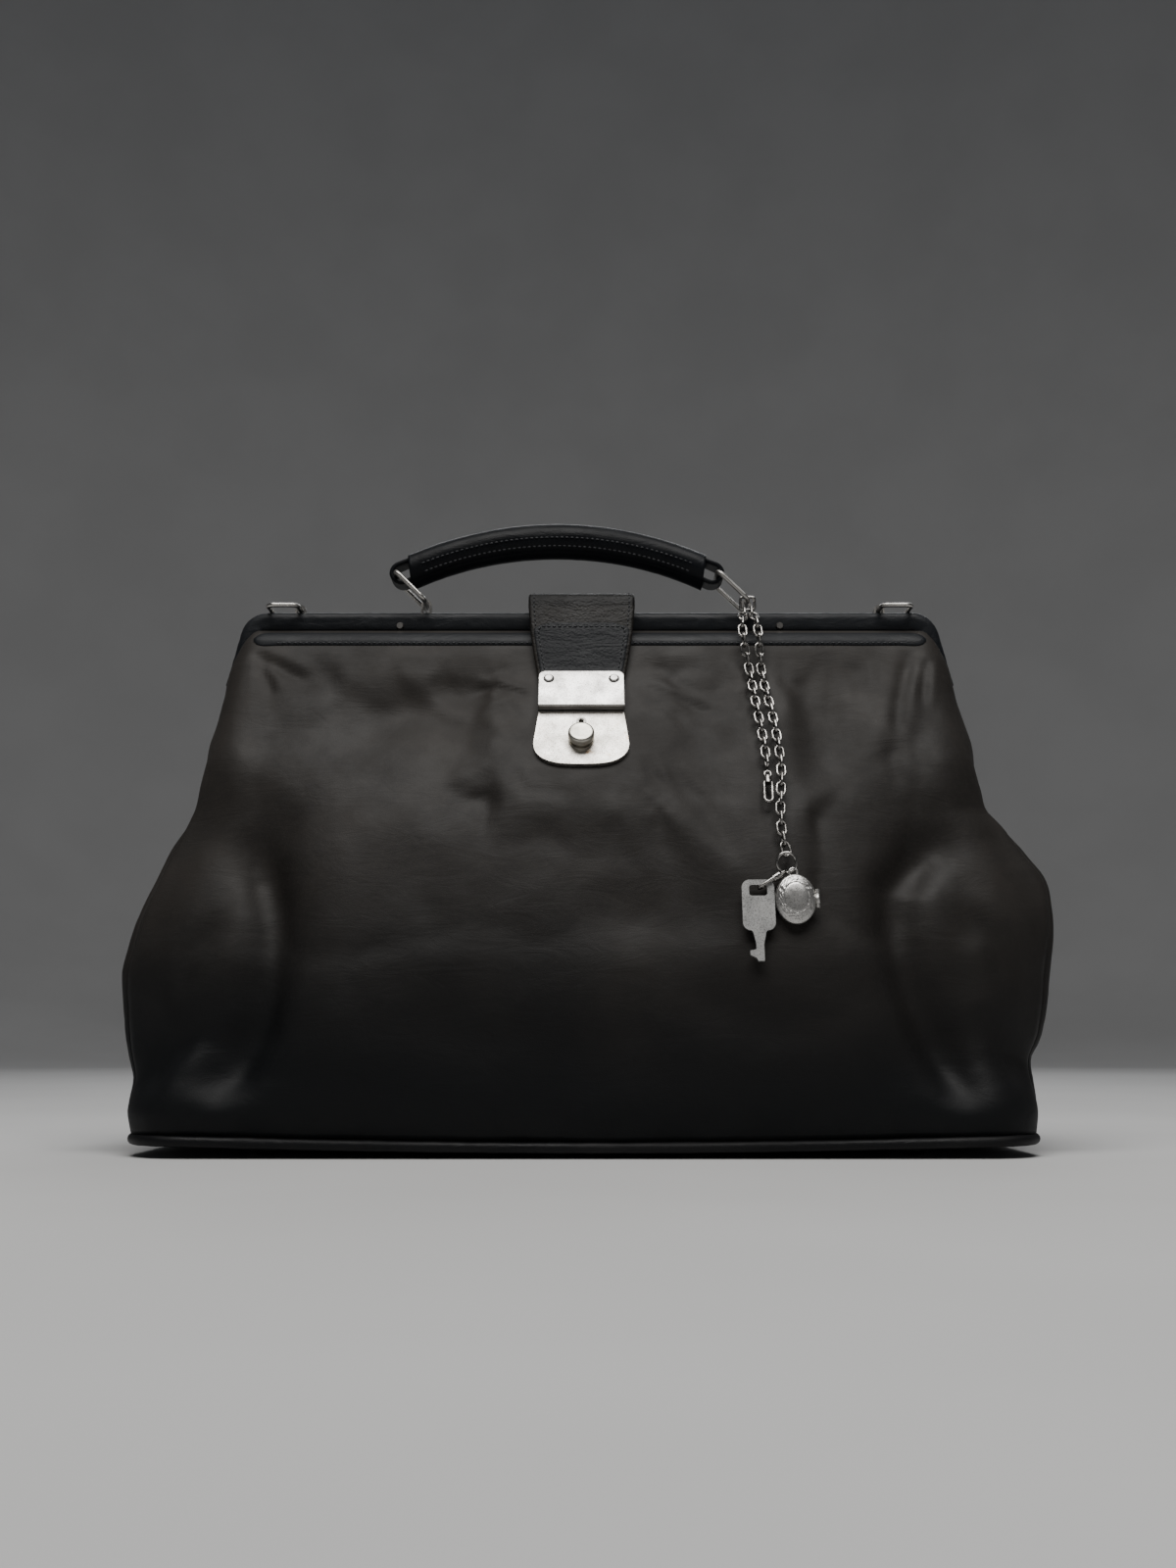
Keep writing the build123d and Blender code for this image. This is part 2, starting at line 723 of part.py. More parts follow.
tail_y = half_y + cover_depth / 2 + tail_clearance + strap_thickness / 2
strip_out_y = wall_y(1, strip_bottom_z, 0.2 + strip_thickness) + tail_clearance + strap_thickness / 2
yoke_mid_z = yoke_bottom_z + 2.0
tail_points = [
    (tail_y + 1.0, strap_hinge_z - strap_thickness - 1.5),
    (tail_y + 1.2, rail_z),
    (strip_out_y + 0.8, strip_bottom_z),
    (slope_y(yoke_mid_z) + strap_thickness / 2 + tail_clearance + 1.0, yoke_mid_z),
]
with BuildPart() as strap_tail:
    add(band(tail_points, 5.0, strap_thickness, strap_half_top))
finish(strap_tail, "strap_tail")

# ---------------------------------------------------------------- hasp
hasp_base = facing_mid + facing_thickness / 2 + layer_gap
lip_low = plate_gap + 0.4
with BuildPart() as hasp_plate:
    with BuildSketch(lock_plane(hasp_base)):
        with Locations((0, (hasp_bottom + hasp_top) / 2)):
            Rectangle(2 * hasp_half_x, hasp_top - hasp_bottom)
        fillet(vertices().group_by(Axis.Z)[-1], hasp_corner)
    extrude(amount=hasp_thickness)
    with BuildSketch(lock_plane(lip_low)):
        with Locations((0, hasp_bottom + hasp_lip / 2)):
            Rectangle(2 * hasp_half_x, hasp_lip)
    extrude(amount=hasp_base - lip_low)
    add(hasp_bores(rivet_shank_radius), mode=Mode.SUBTRACT)
finish(hasp_plate, "hasp_plate")

with BuildPart() as hasp_hook:
    with BuildSketch(lock_plane(lip_low)):
        with Locations((0, hasp_bottom + hasp_lip / 2)):
            Rectangle(2 * hook_half_x, hasp_lip)
    extrude(amount=-(lip_low + hook_depth))
    with BuildSketch(lock_plane(-hook_depth)):
        with Locations((0, hasp_bottom + (hasp_lip - hook_nose) / 2)):
            Rectangle(2 * hook_half_x, hasp_lip + hook_nose)
    extrude(amount=catch_thickness)
finish(hasp_hook, "hasp_hook")

with BuildPart() as hasp_rivets:
    with BuildSketch(lock_plane(strap_stand_off)):
        with Locations((-hasp_rivet_x, hasp_rivet_y), (hasp_rivet_x, hasp_rivet_y)):
            Circle(rivet_shank_radius)
    extrude(amount=hasp_base + hasp_thickness - strap_stand_off)
    with BuildSketch(lock_plane(hasp_base + hasp_thickness)):
        with Locations((-hasp_rivet_x, hasp_rivet_y), (hasp_rivet_x, hasp_rivet_y)):
            Circle(hasp_rivet_radius)
    extrude(amount=1.0, taper=30)
finish(hasp_rivets, "hasp_rivets")

# ---------------------------------------------------------------- lock
plate_base = plate_gap
with BuildPart() as lock_plate:
    with BuildSketch(lock_plane(plate_base)):
        with BuildLine():
            Polyline(
                (-plate_half_wide, plate_wide_at), (-plate_half_top, plate_top),
                (plate_half_top, plate_top), (plate_half_wide, plate_wide_at),
            )
            Spline(
                (plate_half_wide, plate_wide_at), (0, plate_bottom), (-plate_half_wide, plate_wide_at),
                tangents=[(0.1, -1), (0.1, 1)],
            )
        make_face()
        with Locations((0, -knob_travel / 2)):
            SlotCenterToCenter(knob_travel + 0.4, 2 * stem_radius + 0.4, rotation=90, mode=Mode.SUBTRACT)
        with Locations((0, keyhole_y)):
            Circle(keyhole_radius, mode=Mode.SUBTRACT)
            Rectangle(keyhole_radius, 2 * keyhole_ring_radius, align=(Align.CENTER, Align.MAX),
                      mode=Mode.SUBTRACT)
    extrude(amount=plate_thickness)
finish(lock_plate, "lock_plate")

with BuildPart() as keyhole_ring:
    with BuildSketch(lock_plane(plate_base + plate_thickness)):
        with Locations((0, keyhole_y)):
            Circle(keyhole_ring_radius)
            Circle(keyhole_radius + 0.3, mode=Mode.SUBTRACT)
            Rectangle(keyhole_radius, 2 * keyhole_ring_radius, align=(Align.CENTER, Align.MAX),
                      mode=Mode.SUBTRACT)
    extrude(amount=0.5)
finish(keyhole_ring, "keyhole_ring")

with BuildPart() as lock_case:
    with BuildSketch(lock_plane(plate_base)):
        with Locations((0, (case_top + case_bottom) / 2)):
            Rectangle(2 * case_half_x, case_top - case_bottom)
    extrude(amount=-(case_depth + plate_base))
    with BuildSketch(lock_plane(plate_base)):
        with Locations((0, (case_top + case_bottom) / 2)):
            Rectangle(2 * (case_half_x - case_wall), case_top - case_bottom - 2 * case_wall)
    extrude(amount=-(case_depth + plate_base - case_wall), mode=Mode.SUBTRACT)
finish(lock_case, "lock_case")

catch_high = -hook_depth + 2 * catch_thickness + latch_clearance
catch_top = hasp_bottom - hook_nose - latch_clearance
with BuildPart() as lock_catch:
    with BuildSketch(lock_plane(catch_high)):
        with Locations((0, (catch_top + catch_bottom) / 2)):
            Rectangle(2 * catch_half_x, catch_top - catch_bottom)
        Circle(stem_radius, mode=Mode.SUBTRACT)
        with Locations((0, keyhole_y - 1)):
            Circle(keyhole_ring_radius, mode=Mode.SUBTRACT)
    extrude(amount=-catch_thickness)
finish(lock_catch, "lock_catch")

knob_base = plate_base + plate_thickness + 0.1
with BuildPart() as lock_knob:
    with BuildSketch(lock_plane(catch_high - catch_thickness)):
        Circle(stem_radius)
    extrude(amount=knob_base - catch_high + catch_thickness)
    with BuildSketch(lock_plane(knob_base)):
        Circle(knob_radius)
    extrude(amount=1.0)
    with BuildSketch(lock_plane(knob_base + 1.0)):
        Circle(knob_radius - 1.8)
    extrude(amount=2.2)
    with BuildSketch(lock_plane(knob_base + 3.2)):
        Circle(knob_radius)
    extrude(amount=knob_height - 3.2)
    rims = lock_knob.edges().filter_by(GeomType.CIRCLE).group_by(Axis((0, 0, 0), lock_plane().z_dir))
    fillet(rims[-1], 1.6)
finish(lock_knob, "lock_knob")

spring_foot = case_bottom + case_wall + spring_wire + 0.05
spring_room = catch_bottom - spring_wire - 0.05 - spring_foot
spring_height = catch_high - catch_thickness / 2
with BuildPart() as lock_spring:
    with BuildLine() as coil:
        Helix(
            pitch=spring_room / 4, height=spring_room, radius=spring_radius - spring_wire,
            center=lock_plane(spring_height).from_local_coords((0, spring_foot, 0)),
            direction=lock_plane().y_dir,
        )
    with BuildSketch(Plane(origin=coil.wire() @ 0, z_dir=coil.wire() % 0)):
        Circle(spring_wire)
    sweep(path=coil.wire())
finish(lock_spring, "lock_spring")

# ---------------------------------------------------------------- chain


def body_section(z):
    """The leather's half length, half depth and slope (depth over rise) at height z."""
    for low, high in zip(body_rows, body_rows[1:]):
        if z <= high[0]:
            break
    share = (z - low[0]) / (high[0] - low[0])
    slope = (high[2] - low[2]) / (high[0] - low[0])
    return low[1] + (high[1] - low[1]) * share, low[2] + (high[2] - low[2]) * share, slope


def front_plane(x, z, height):
    """A plane off the front panel: x to the right, y up the leather, z out of the bag."""
    _, depth, slope = body_section(z)
    normal = Vector(0, -1, -slope).normalized()
    return Plane(origin=Vector(x, -depth, z) + normal * height, x_dir=(1, 0, 0), z_dir=normal)


link_inside = link_length - 4 * link_wire
link_pitch = link_inside - link_slack
chain_ring_middle = ring_z + ring_wire + 0.1 - chain_ring_height / 2 + 2 * chain_ring_wire
chain_pivot_z = chain_ring_middle - chain_ring_height / 2 + chain_ring_wire


def oval_ring(plane, length, width, wire):
    """A closed oval of round wire, long way along the plane's y."""
    with BuildPart() as oval:
        with BuildLine(plane) as path:
            bend = width / 2 - wire
            straight = length / 2 - width / 2
            Line((bend, -straight), (bend, straight))
            ThreePointArc((bend, straight), (0, straight + bend), (-bend, straight))
            Line((-bend, straight), (-bend, -straight))
            ThreePointArc((-bend, -straight), (0, -straight - bend), (bend, -straight))
        with BuildSketch(Plane(origin=path.wire() @ 0, z_dir=path.wire() % 0)):
            Circle(wire)
        sweep(path=path.wire())
    return oval.part


# The first link of each strand hangs over the ring's lower wire, leaning out over the frame.
first_reach = link_inside / 2 - chain_ring_wire - 1.5 * link_slack
first_lean = math.radians(32)
first_y = chain_ring_y - first_reach * math.sin(first_lean)
first_z = chain_pivot_z - first_reach * math.cos(first_lean)


def chain_strand(route, node):
    """Links strung down a route. Each is turned a quarter from the one before."""
    with BuildLine(mode=Mode.PRIVATE) as line:
        Spline(*route)
    run = line.wire()
    with BuildPart() as strand:
        for number in range(int(run.length / link_pitch) + 1):
            centre = run.position_at(number * link_pitch, position_mode=PositionMode.LENGTH)
            tangent = run.tangent_at(number * link_pitch, position_mode=PositionMode.LENGTH)
            if number == 0:
                tangent = Vector(0, -math.sin(first_lean), -math.cos(first_lean))
            outward = front_plane(centre.X, min(centre.Z, wall_top_z - 1), 0).z_dir
            across = tangent.cross(outward).normalized()
            face = across.cross(tangent)
            turn = math.radians(90 * (number + 1) + (chain_twist if number else 0))
            x_dir = across * math.cos(turn) + face * math.sin(turn)
            link_plane = Plane(origin=centre, x_dir=x_dir, z_dir=x_dir.cross(tangent))
            add(oval_ring(link_plane, link_length, link_width, link_wire))
    finish(strand, node)


ring_bar_x = handle_pivots[1]


def chain_spot(shift, drop):
    """The plane on the chain's line at a shift from the ring's bar and a drop from the frame's top."""
    return front_plane(ring_bar_x + shift, frame_top_z - drop, chain_stand_off)


def on_front(*points):
    """Points on the chain's line in front of the leather, from their shifts and drops."""
    return [tuple(chain_spot(shift, drop).origin) for shift, drop in points]


with BuildPart() as chain_ring:
    chain_ring_plane = Plane(
        origin=(ring_bar_x, chain_ring_y, chain_ring_middle), x_dir=(1, 0, 0), z_dir=(0, -1, 0)
    )
    half_across = chain_ring_width / 2 - chain_ring_wire
    half_up = chain_ring_height / 2 - chain_ring_wire
    with BuildLine(chain_ring_plane) as chain_ring_path:
        FilletPolyline(
            (-half_across, -half_up), (half_across, -half_up), (half_across, half_up), (-half_across, half_up),
            radius=1.4, close=True,
        )
    with BuildSketch(Plane(origin=chain_ring_path.wire() @ 0, z_dir=chain_ring_path.wire() % 0)):
        Circle(chain_ring_wire)
    sweep(path=chain_ring_path.wire())
finish(chain_ring, "chain_ring")

brow_z = frame_top_z - 18.0
brow_y = -(slope_top_y - 2.0)
long_route = [
    (ring_bar_x + strand_spread, first_y, first_z),
    (ring_bar_x + 4.3, brow_y - 1.0, brow_z),
] + on_front((4.8, 38), (7.6, 62), (9.9, 85), (10.1, 102), (8.6, 116), (10.4, 148))
short_route = [
    (ring_bar_x - strand_spread, first_y, first_z),
    (ring_bar_x - 4.1, brow_y - 1.0, brow_z),
] + on_front((-1.8, 38), (0.4, 62), (2.6, 85), (3.2, 97))
chain_strand(long_route, "chain_long_strand")
chain_strand(short_route, "chain_short_strand")


def clasp(start, end, normal, node):
    """A trigger clasp: a barrel with its eye at start, and a long hook that closes at end."""
    along = (end - start).normalized()
    hook_length = (end - start).length - clasp_barrel_length + 2 * clasp_wire
    hook_centre = end - along * (hook_length / 2 - clasp_wire)
    x_dir = along.cross(normal).normalized() if clasp_turns[node] else normal
    with BuildPart() as trigger:
        add(oval_ring(
            Plane(origin=hook_centre, x_dir=x_dir, z_dir=x_dir.cross(along)),
            hook_length, clasp_width, clasp_wire,
        ))
        with BuildSketch(Plane(origin=start + along * 1.5, z_dir=along)):
            Circle(clasp_barrel_radius)
        extrude(amount=clasp_barrel_length)
        add(oval_ring(
            Plane(origin=start, x_dir=x_dir, z_dir=x_dir.cross(along)),
            clasp_eye_length, clasp_eye_width, clasp_wire * 0.8,
        ))
    finish(trigger, node)


# The chain clasp lies flat on the leather. The key clasp stands on edge, round the key's top bar.
clasp_turns = {"chain_clasp": True, "key_clasp": False}
clasp_start = chain_spot(3.1, 103.5)
clasp_end = chain_spot(2.6, 118.0)
clasp(clasp_start.origin, clasp_end.origin, clasp_start.z_dir, "chain_clasp")

# ---------------------------------------------------------------- key
key_middle = key_stand_off + key_thickness / 2
key_plane = front_plane(ring_bar_x + key_shift, frame_top_z - key_drop, key_middle)
slot_y = bow_height / 2 - slot_below_top
key_pivot_y = slot_y + slot_height / 2 - clasp_wire - 0.5
with BuildPart() as key:
    with BuildSketch(key_plane):
        RectangleRounded(bow_width, bow_height, bow_corner)
        with BuildLine():
            low = -bow_height / 2
            Polyline(
                (-blade_half_top - 1.5, low + 1.0), (-blade_half_top, low - 1.0),
                (-blade_half_tip, low - blade_length * 0.45), (-blade_half_tip, low - blade_length * 0.62),
                (-blade_half_tip - tooth_length, low - blade_length * 0.66),
                (-blade_half_tip - tooth_length, low - blade_length * 0.66 - tooth_height),
                (-blade_half_tip, low - blade_length * 0.9), (-blade_half_tip + 0.8, low - blade_length),
                (blade_half_tip, low - blade_length), (blade_half_tip, low - blade_length * 0.45),
                (blade_half_top, low - 1.0), (blade_half_top + 1.5, low + 1.0), close=True,
            )
        make_face()
        with Locations((0, slot_y)):
            RectangleRounded(slot_width, slot_height, 1.4, mode=Mode.SUBTRACT)
    extrude(amount=key_thickness / 2, both=True)
finish(key, "key")

key_hook = key_plane.from_local_coords((0.6, key_pivot_y, 0))
key_eye = key_plane.from_local_coords((12.3, 16.2, 0))
clasp(key_eye, key_hook, key_plane.z_dir, "key_clasp")

# ---------------------------------------------------------------- locket
back_base = pendant_stand_off
lid_base = back_base + shell_height + shell_gap
hinge_height = lid_base - shell_gap / 2
locket_hinge_x = locket_half_x + knuckle_radius - 0.4


def locket_plane(height):
    """The plane of the locket at a height off the leather."""
    return front_plane(ring_bar_x + locket_shift, frame_top_z - locket_drop, height)


def knuckles(centres, length, radius):
    """Short tubes or rods along the locket's hinge, each centred at a distance up the hinge."""
    with BuildPart() as rods:
        for centre in centres:
            foot = locket_plane(hinge_height).from_local_coords((locket_hinge_x, centre - length / 2, 0))
            with BuildSketch(Plane(origin=foot, x_dir=(1, 0, 0), z_dir=locket_plane(0).y_dir)):
                Circle(radius)
            extrude(amount=length)
    return rods.part


with BuildPart() as locket_back:
    with BuildSketch(locket_plane(back_base)):
        Ellipse(locket_half_x, locket_half_y)
    extrude(amount=shell_height)
    fillet(locket_back.edges().group_by(Axis((0, 0, 0), locket_plane(0).z_dir))[0], shell_height * 0.7)
    add(knuckles((0,), knuckle_length + 0.4, knuckle_radius + 0.15), mode=Mode.SUBTRACT)
    end_knuckle = knuckle_length / 2 + 0.2 + 1.0
    add(knuckles((-end_knuckle, end_knuckle), 2.0, knuckle_radius))
    add(knuckles((0,), knuckle_length * 3, locket_pin_radius), mode=Mode.SUBTRACT)
finish(locket_back, "locket_back")

with BuildPart() as locket_lid:
    with BuildSketch(locket_plane(lid_base)):
        Ellipse(locket_half_x, locket_half_y)
    extrude(amount=shell_height)
    fillet(locket_lid.edges().group_by(Axis((0, 0, 0), locket_plane(0).z_dir))[-1], shell_height * 0.85)
    add(knuckles((-end_knuckle, end_knuckle), 2.4, knuckle_radius + 0.15), mode=Mode.SUBTRACT)
    add(knuckles((0,), knuckle_length, knuckle_radius))
    add(knuckles((0,), knuckle_length * 3, locket_pin_radius + pin_running_clearance), mode=Mode.SUBTRACT)
finish(locket_lid, "locket_lid")

with BuildPart() as locket_hinge_pin:
    add(knuckles((0,), 2 * end_knuckle + 2.0, locket_pin_radius))
finish(locket_hinge_pin, "locket_hinge_pin")

bail_plane = locket_plane(back_base + shell_height / 2)
bail_centre = bail_plane.from_local_coords((-bail_shift, locket_half_y + bail_radius - 0.7, 0))
with BuildPart() as locket_bail:
    add(oval_ring(
        Plane(origin=bail_centre, x_dir=(1, 0, 0), z_dir=bail_plane.z_dir),
        2 * (bail_radius + bail_wire) + 0.4, 2 * (bail_radius + bail_wire), bail_wire,
    ))
    add(locket_back.part, mode=Mode.SUBTRACT)
finish(locket_bail, "locket_bail")
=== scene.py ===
"""Blender scene for the doctor bag, in metres, in the frame of the CAD: +Z up, -Y the front.

The leather, the handle, the stitching and the locket's lid are built here around the CAD bodies.
The metal fittings keep their CAD shapes and get their finishes here.
"""

import math

import bpy
import numpy as np
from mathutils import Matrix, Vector, noise


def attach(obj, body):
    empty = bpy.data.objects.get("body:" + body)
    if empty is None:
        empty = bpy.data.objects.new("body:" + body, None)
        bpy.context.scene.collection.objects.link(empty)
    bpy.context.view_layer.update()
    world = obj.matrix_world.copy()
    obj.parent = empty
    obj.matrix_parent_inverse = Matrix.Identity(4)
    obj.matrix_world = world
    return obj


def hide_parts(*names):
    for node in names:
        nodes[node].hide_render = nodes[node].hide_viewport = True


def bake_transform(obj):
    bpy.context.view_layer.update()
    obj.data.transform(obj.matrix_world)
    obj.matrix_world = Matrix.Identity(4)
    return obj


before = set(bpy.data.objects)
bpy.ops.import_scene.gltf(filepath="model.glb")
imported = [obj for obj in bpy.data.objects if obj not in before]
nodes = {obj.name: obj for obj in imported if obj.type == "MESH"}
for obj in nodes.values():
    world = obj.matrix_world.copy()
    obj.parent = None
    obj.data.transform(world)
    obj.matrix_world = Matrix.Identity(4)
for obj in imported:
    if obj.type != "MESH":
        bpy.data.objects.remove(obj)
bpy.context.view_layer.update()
MM = 0.001

# ---------------------------------------------------------------- small helpers


def smooth_curve(x, xs, ys):
    """Values at x of a smooth monotone curve through (xs, ys)."""
    x, xs, ys = np.asarray(x, float), np.asarray(xs, float), np.asarray(ys, float)
    gap = np.diff(xs)
    slope = np.diff(ys) / gap
    tangent = np.concatenate([[slope[0]], (slope[1:] + slope[:-1]) / 2, [slope[-1]]])
    turning = slope[1:] * slope[:-1] <= 0
    tangent[1:-1][turning] = 0
    i = np.clip(np.searchsorted(xs, x) - 1, 0, len(gap) - 1)
    t = np.clip((x - xs[i]) / gap[i], 0, 1)
    return (
        (2 * t**3 - 3 * t**2 + 1) * ys[i] + (t**3 - 2 * t**2 + t) * gap[i] * tangent[i]
        + (3 * t**2 - 2 * t**3) * ys[i + 1] + (t**3 - t**2) * gap[i] * tangent[i + 1]
    )


def smoothstep(low, high, x):
    """0 up to low, 1 from high on, and smooth between."""
    t = np.clip((np.asarray(x, float) - low) / (high - low), 0, 1)
    return t * t * (3 - 2 * t)


def noise_at(points, scale, seed=0.0, octaves=2):
    """Smooth noise, about -1 to 1, at each point of an array that ends in 3."""
    flat = np.asarray(points, float).reshape(-1, 3) * scale + seed
    values = [noise.fractal(Vector(p), 0.6, 2.1, octaves, noise_basis="PERLIN_ORIGINAL") for p in flat]
    return np.array(values).reshape(np.shape(points)[:-1])


def unit(v):
    """Vectors brought to a length of 1."""
    v = np.asarray(v, float)
    return v / np.maximum(np.linalg.norm(v, axis=-1, keepdims=True), 1e-12)


def grid_normals(grid):
    """Unit normals of a closed grid of points: along a row crossed with down the rows."""
    along = np.roll(grid, -1, axis=1) - np.roll(grid, 1, axis=1)
    normal = unit(np.cross(along, np.gradient(grid, axis=0)))
    return normal if np.sum(normal * (grid * (1, 1, 0))) > 0 else -normal


def new_object(name, verts, faces, materials, body, replaces=(), face_material=None, smooth=True):
    """A mesh object that rides on a CAD body."""
    mesh = bpy.data.meshes.new(name)
    mesh.from_pydata([tuple(v) for v in verts], [], [tuple(f) for f in faces])
    for material in materials:
        mesh.materials.append(material)
    if face_material is not None:
        mesh.polygons.foreach_set("material_index", list(face_material))
    mesh.polygons.foreach_set("use_smooth", [smooth] * len(mesh.polygons))
    mesh.validate()
    mesh.update()
    obj = bpy.data.objects.new(name, mesh)
    bpy.context.scene.collection.objects.link(obj)
    if body:
        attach(obj, body)
    if replaces:
        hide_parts(*replaces)
    return obj


def grid_faces(rows, cols, closed=False, start=0):
    """Quads of a grid of vertices. A closed grid joins its last column to its first."""
    faces = []
    for row in range(start, start + (rows - 1) * cols, cols):
        for c in range(cols if closed else cols - 1):
            d = (c + 1) % cols
            faces.append((row + c, row + d, row + cols + d, row + cols + c))
    return faces


def shell_mesh(outer, inner):
    """A closed sheet of leather between two open grids of the same size."""
    rows, cols = outer.shape[:2]
    count = rows * cols
    verts = np.concatenate([outer.reshape(-1, 3), inner.reshape(-1, 3)])
    faces = grid_faces(rows, cols)
    outside = len(faces)
    faces += [tuple(reversed([i + count for i in f])) for f in faces[:outside]]
    edge = [(0, c) for c in range(cols)] + [(r, cols - 1) for r in range(1, rows)]
    edge += [(rows - 1, c) for c in range(cols - 2, -1, -1)] + [(r, 0) for r in range(rows - 2, 0, -1)]
    ring = [r * cols + c for r, c in edge]
    for a, b in zip(ring, ring[1:] + ring[:1]):
        faces.append((b, a, a + count, b + count))
    kind = [0] * outside + [1] * outside + [0] * len(ring)
    return verts, faces, kind


def turned(faces):
    """The faces with their other side out."""
    return [tuple(reversed(f)) for f in faces]


def joined(pieces):
    """Several meshes, each as its vertices and faces, in one."""
    faces, start = [], 0
    for verts, piece_faces in pieces:
        faces += [tuple(i + start for i in f) for f in piece_faces]
        start += len(verts)
    return np.concatenate([verts for verts, _ in pieces]), faces


def sweep_mesh(sections, closed=False):
    """A tube whose every ring is given in full, as an array of rings by points by 3."""
    rings, points = sections.shape[:2]
    last = (rings - 1) * points
    faces = grid_faces(rings, points, closed=True)
    if closed:
        faces += [(last + c, last + (c + 1) % points, (c + 1) % points, c) for c in range(points)]
    else:
        faces += [tuple(reversed(range(points))), tuple(last + c for c in range(points))]
    return sections.reshape(-1, 3), faces


def swept(name, rings, material, body, replaces, closed=False):
    """A piece swept through its rings, in millimetres."""
    verts, faces = sweep_mesh(np.array(rings), closed)
    return new_object(name, verts * MM, faces, [material], body, replaces)


def shrunk(ring, scale):
    """A ring drawn in towards its middle."""
    return ring.mean(0) + (ring - ring.mean(0)) * scale


def path_frames(path, side):
    """For each point of a path: the side given, made square to the path, and the direction square to both."""
    tangent = unit(np.gradient(path, axis=0))
    up = unit(np.cross(tangent, unit(np.broadcast_to(np.asarray(side, float), path.shape))))
    return unit(np.cross(up, tangent)), up


def rounded_section(width, height, radius, per_corner, per_side):
    """A rounded rectangle as points (a, b), anticlockwise."""
    arcs = []
    for corner, (sx, sy) in enumerate(((1, 1), (-1, 1), (-1, -1), (1, -1))):
        angles = np.radians(90 * (corner + np.arange(per_corner + 1) / per_corner))
        arcs.append(np.column_stack([sx * (width / 2 - radius) + radius * np.cos(angles),
                                     sy * (height / 2 - radius) + radius * np.sin(angles)]))
    sides = [np.linspace(arc[-1], after[0], per_side + 1)[1:-1] for arc, after in zip(arcs, arcs[1:] + arcs[:1])]
    return np.concatenate([points for pair in zip(arcs, sides) for points in pair])


def fillet_path(points, radius, step):
    """Points along a polyline with rounded corners, an even step apart."""
    points = [np.asarray(p, float) for p in points]
    dense = [points[0]]
    for before, corner, after in zip(points, points[1:], points[2:]):
        into, out = unit(corner - before), unit(after - corner)
        turn = math.acos(float(np.clip(np.dot(into, out), -1, 1)))
        reach = min(radius * math.tan(turn / 2), 0.45 * np.linalg.norm(corner - before),
                    0.45 * np.linalg.norm(after - corner))
        for t in np.linspace(0, 1, 12):
            a, b = corner - into * reach, corner + out * reach
            dense.append((1 - t) ** 2 * a + 2 * t * (1 - t) * corner + t * t * b)
    dense.append(points[-1])
    return even_path(np.array(dense), step)


def even_path(dense, step):
    """Points an even step apart along a path."""
    gaps = np.linalg.norm(np.diff(dense, axis=0), axis=1)
    run = np.concatenate([[0], np.cumsum(gaps)])
    count = max(2, int(round(run[-1] / step)) + 1)
    at = np.linspace(0, run[-1], count)
    return np.stack([np.interp(at, run, dense[:, k]) for k in range(3)], axis=1)


# ---------------------------------------------------------------- materials


class Nodes:
    """A short way to write a node material."""

    def __init__(self, name):
        self.material = bpy.data.materials.new(name)
        self.material.use_nodes = True
        self.tree = self.material.node_tree
        self.tree.nodes.clear()
        output = self.tree.nodes.new("ShaderNodeOutputMaterial")
        self.shader = self.tree.nodes.new("ShaderNodeBsdfPrincipled")
        self.tree.links.new(self.shader.outputs[0], output.inputs[0])
        self.place = self.tree.nodes.new("ShaderNodeTexCoord").outputs["Object"]

    def add(self, kind, settings=(), out=0, **inputs):
        """A new node's output. Its inputs go by name, or by number as i0, i1 and so on."""
        node = self.tree.nodes.new("ShaderNode" + kind)
        for key, value in dict(settings).items():
            setattr(node, key, value)
        for key, value in inputs.items():
            self.give(node.inputs[int(key[1:]) if key[1:].isdigit() else key], value)
        return node.outputs[out]

    def give(self, socket, value):
        if isinstance(value, bpy.types.NodeSocket):
            self.tree.links.new(value, socket)
        else:
            socket.default_value = value

    def scaled(self, scale):
        return self.add("Mapping", i0=self.place, Scale=scale)

    def noise(self, scale, detail=3.0, rough=0.55, where=None, warp=0.0):
        return self.add("TexNoise", Vector=where or self.place, Scale=scale, Detail=detail, Roughness=rough,
                        Distortion=warp)

    def ramp(self, value, low, high, to_low=0.0, to_high=1.0):
        return self.add("MapRange", {"clamp": True, "interpolation_type": "SMOOTHSTEP"}, i0=value, i1=low, i2=high,
                        i3=to_low, i4=to_high)

    def mix(self, factor, a, b, blend="MIX"):
        return self.add("Mix", {"data_type": "RGBA", "blend_type": blend}, out=2, i0=factor, i6=a, i7=b)

    def math(self, operation, a, b):
        return self.add("Math", {"operation": operation}, i0=a, i1=b)

    def bump(self, height, strength, distance, normal=None):
        under = {"Normal": normal} if normal else {}
        return self.add("Bump", Height=height, Strength=strength, Distance=distance, **under)

    def set(self, **inputs):
        for key, value in inputs.items():
            self.give(self.shader.inputs[key.replace("_", " ")], value)


def rgb(r, g, b):
    return (r, g, b, 1.0)


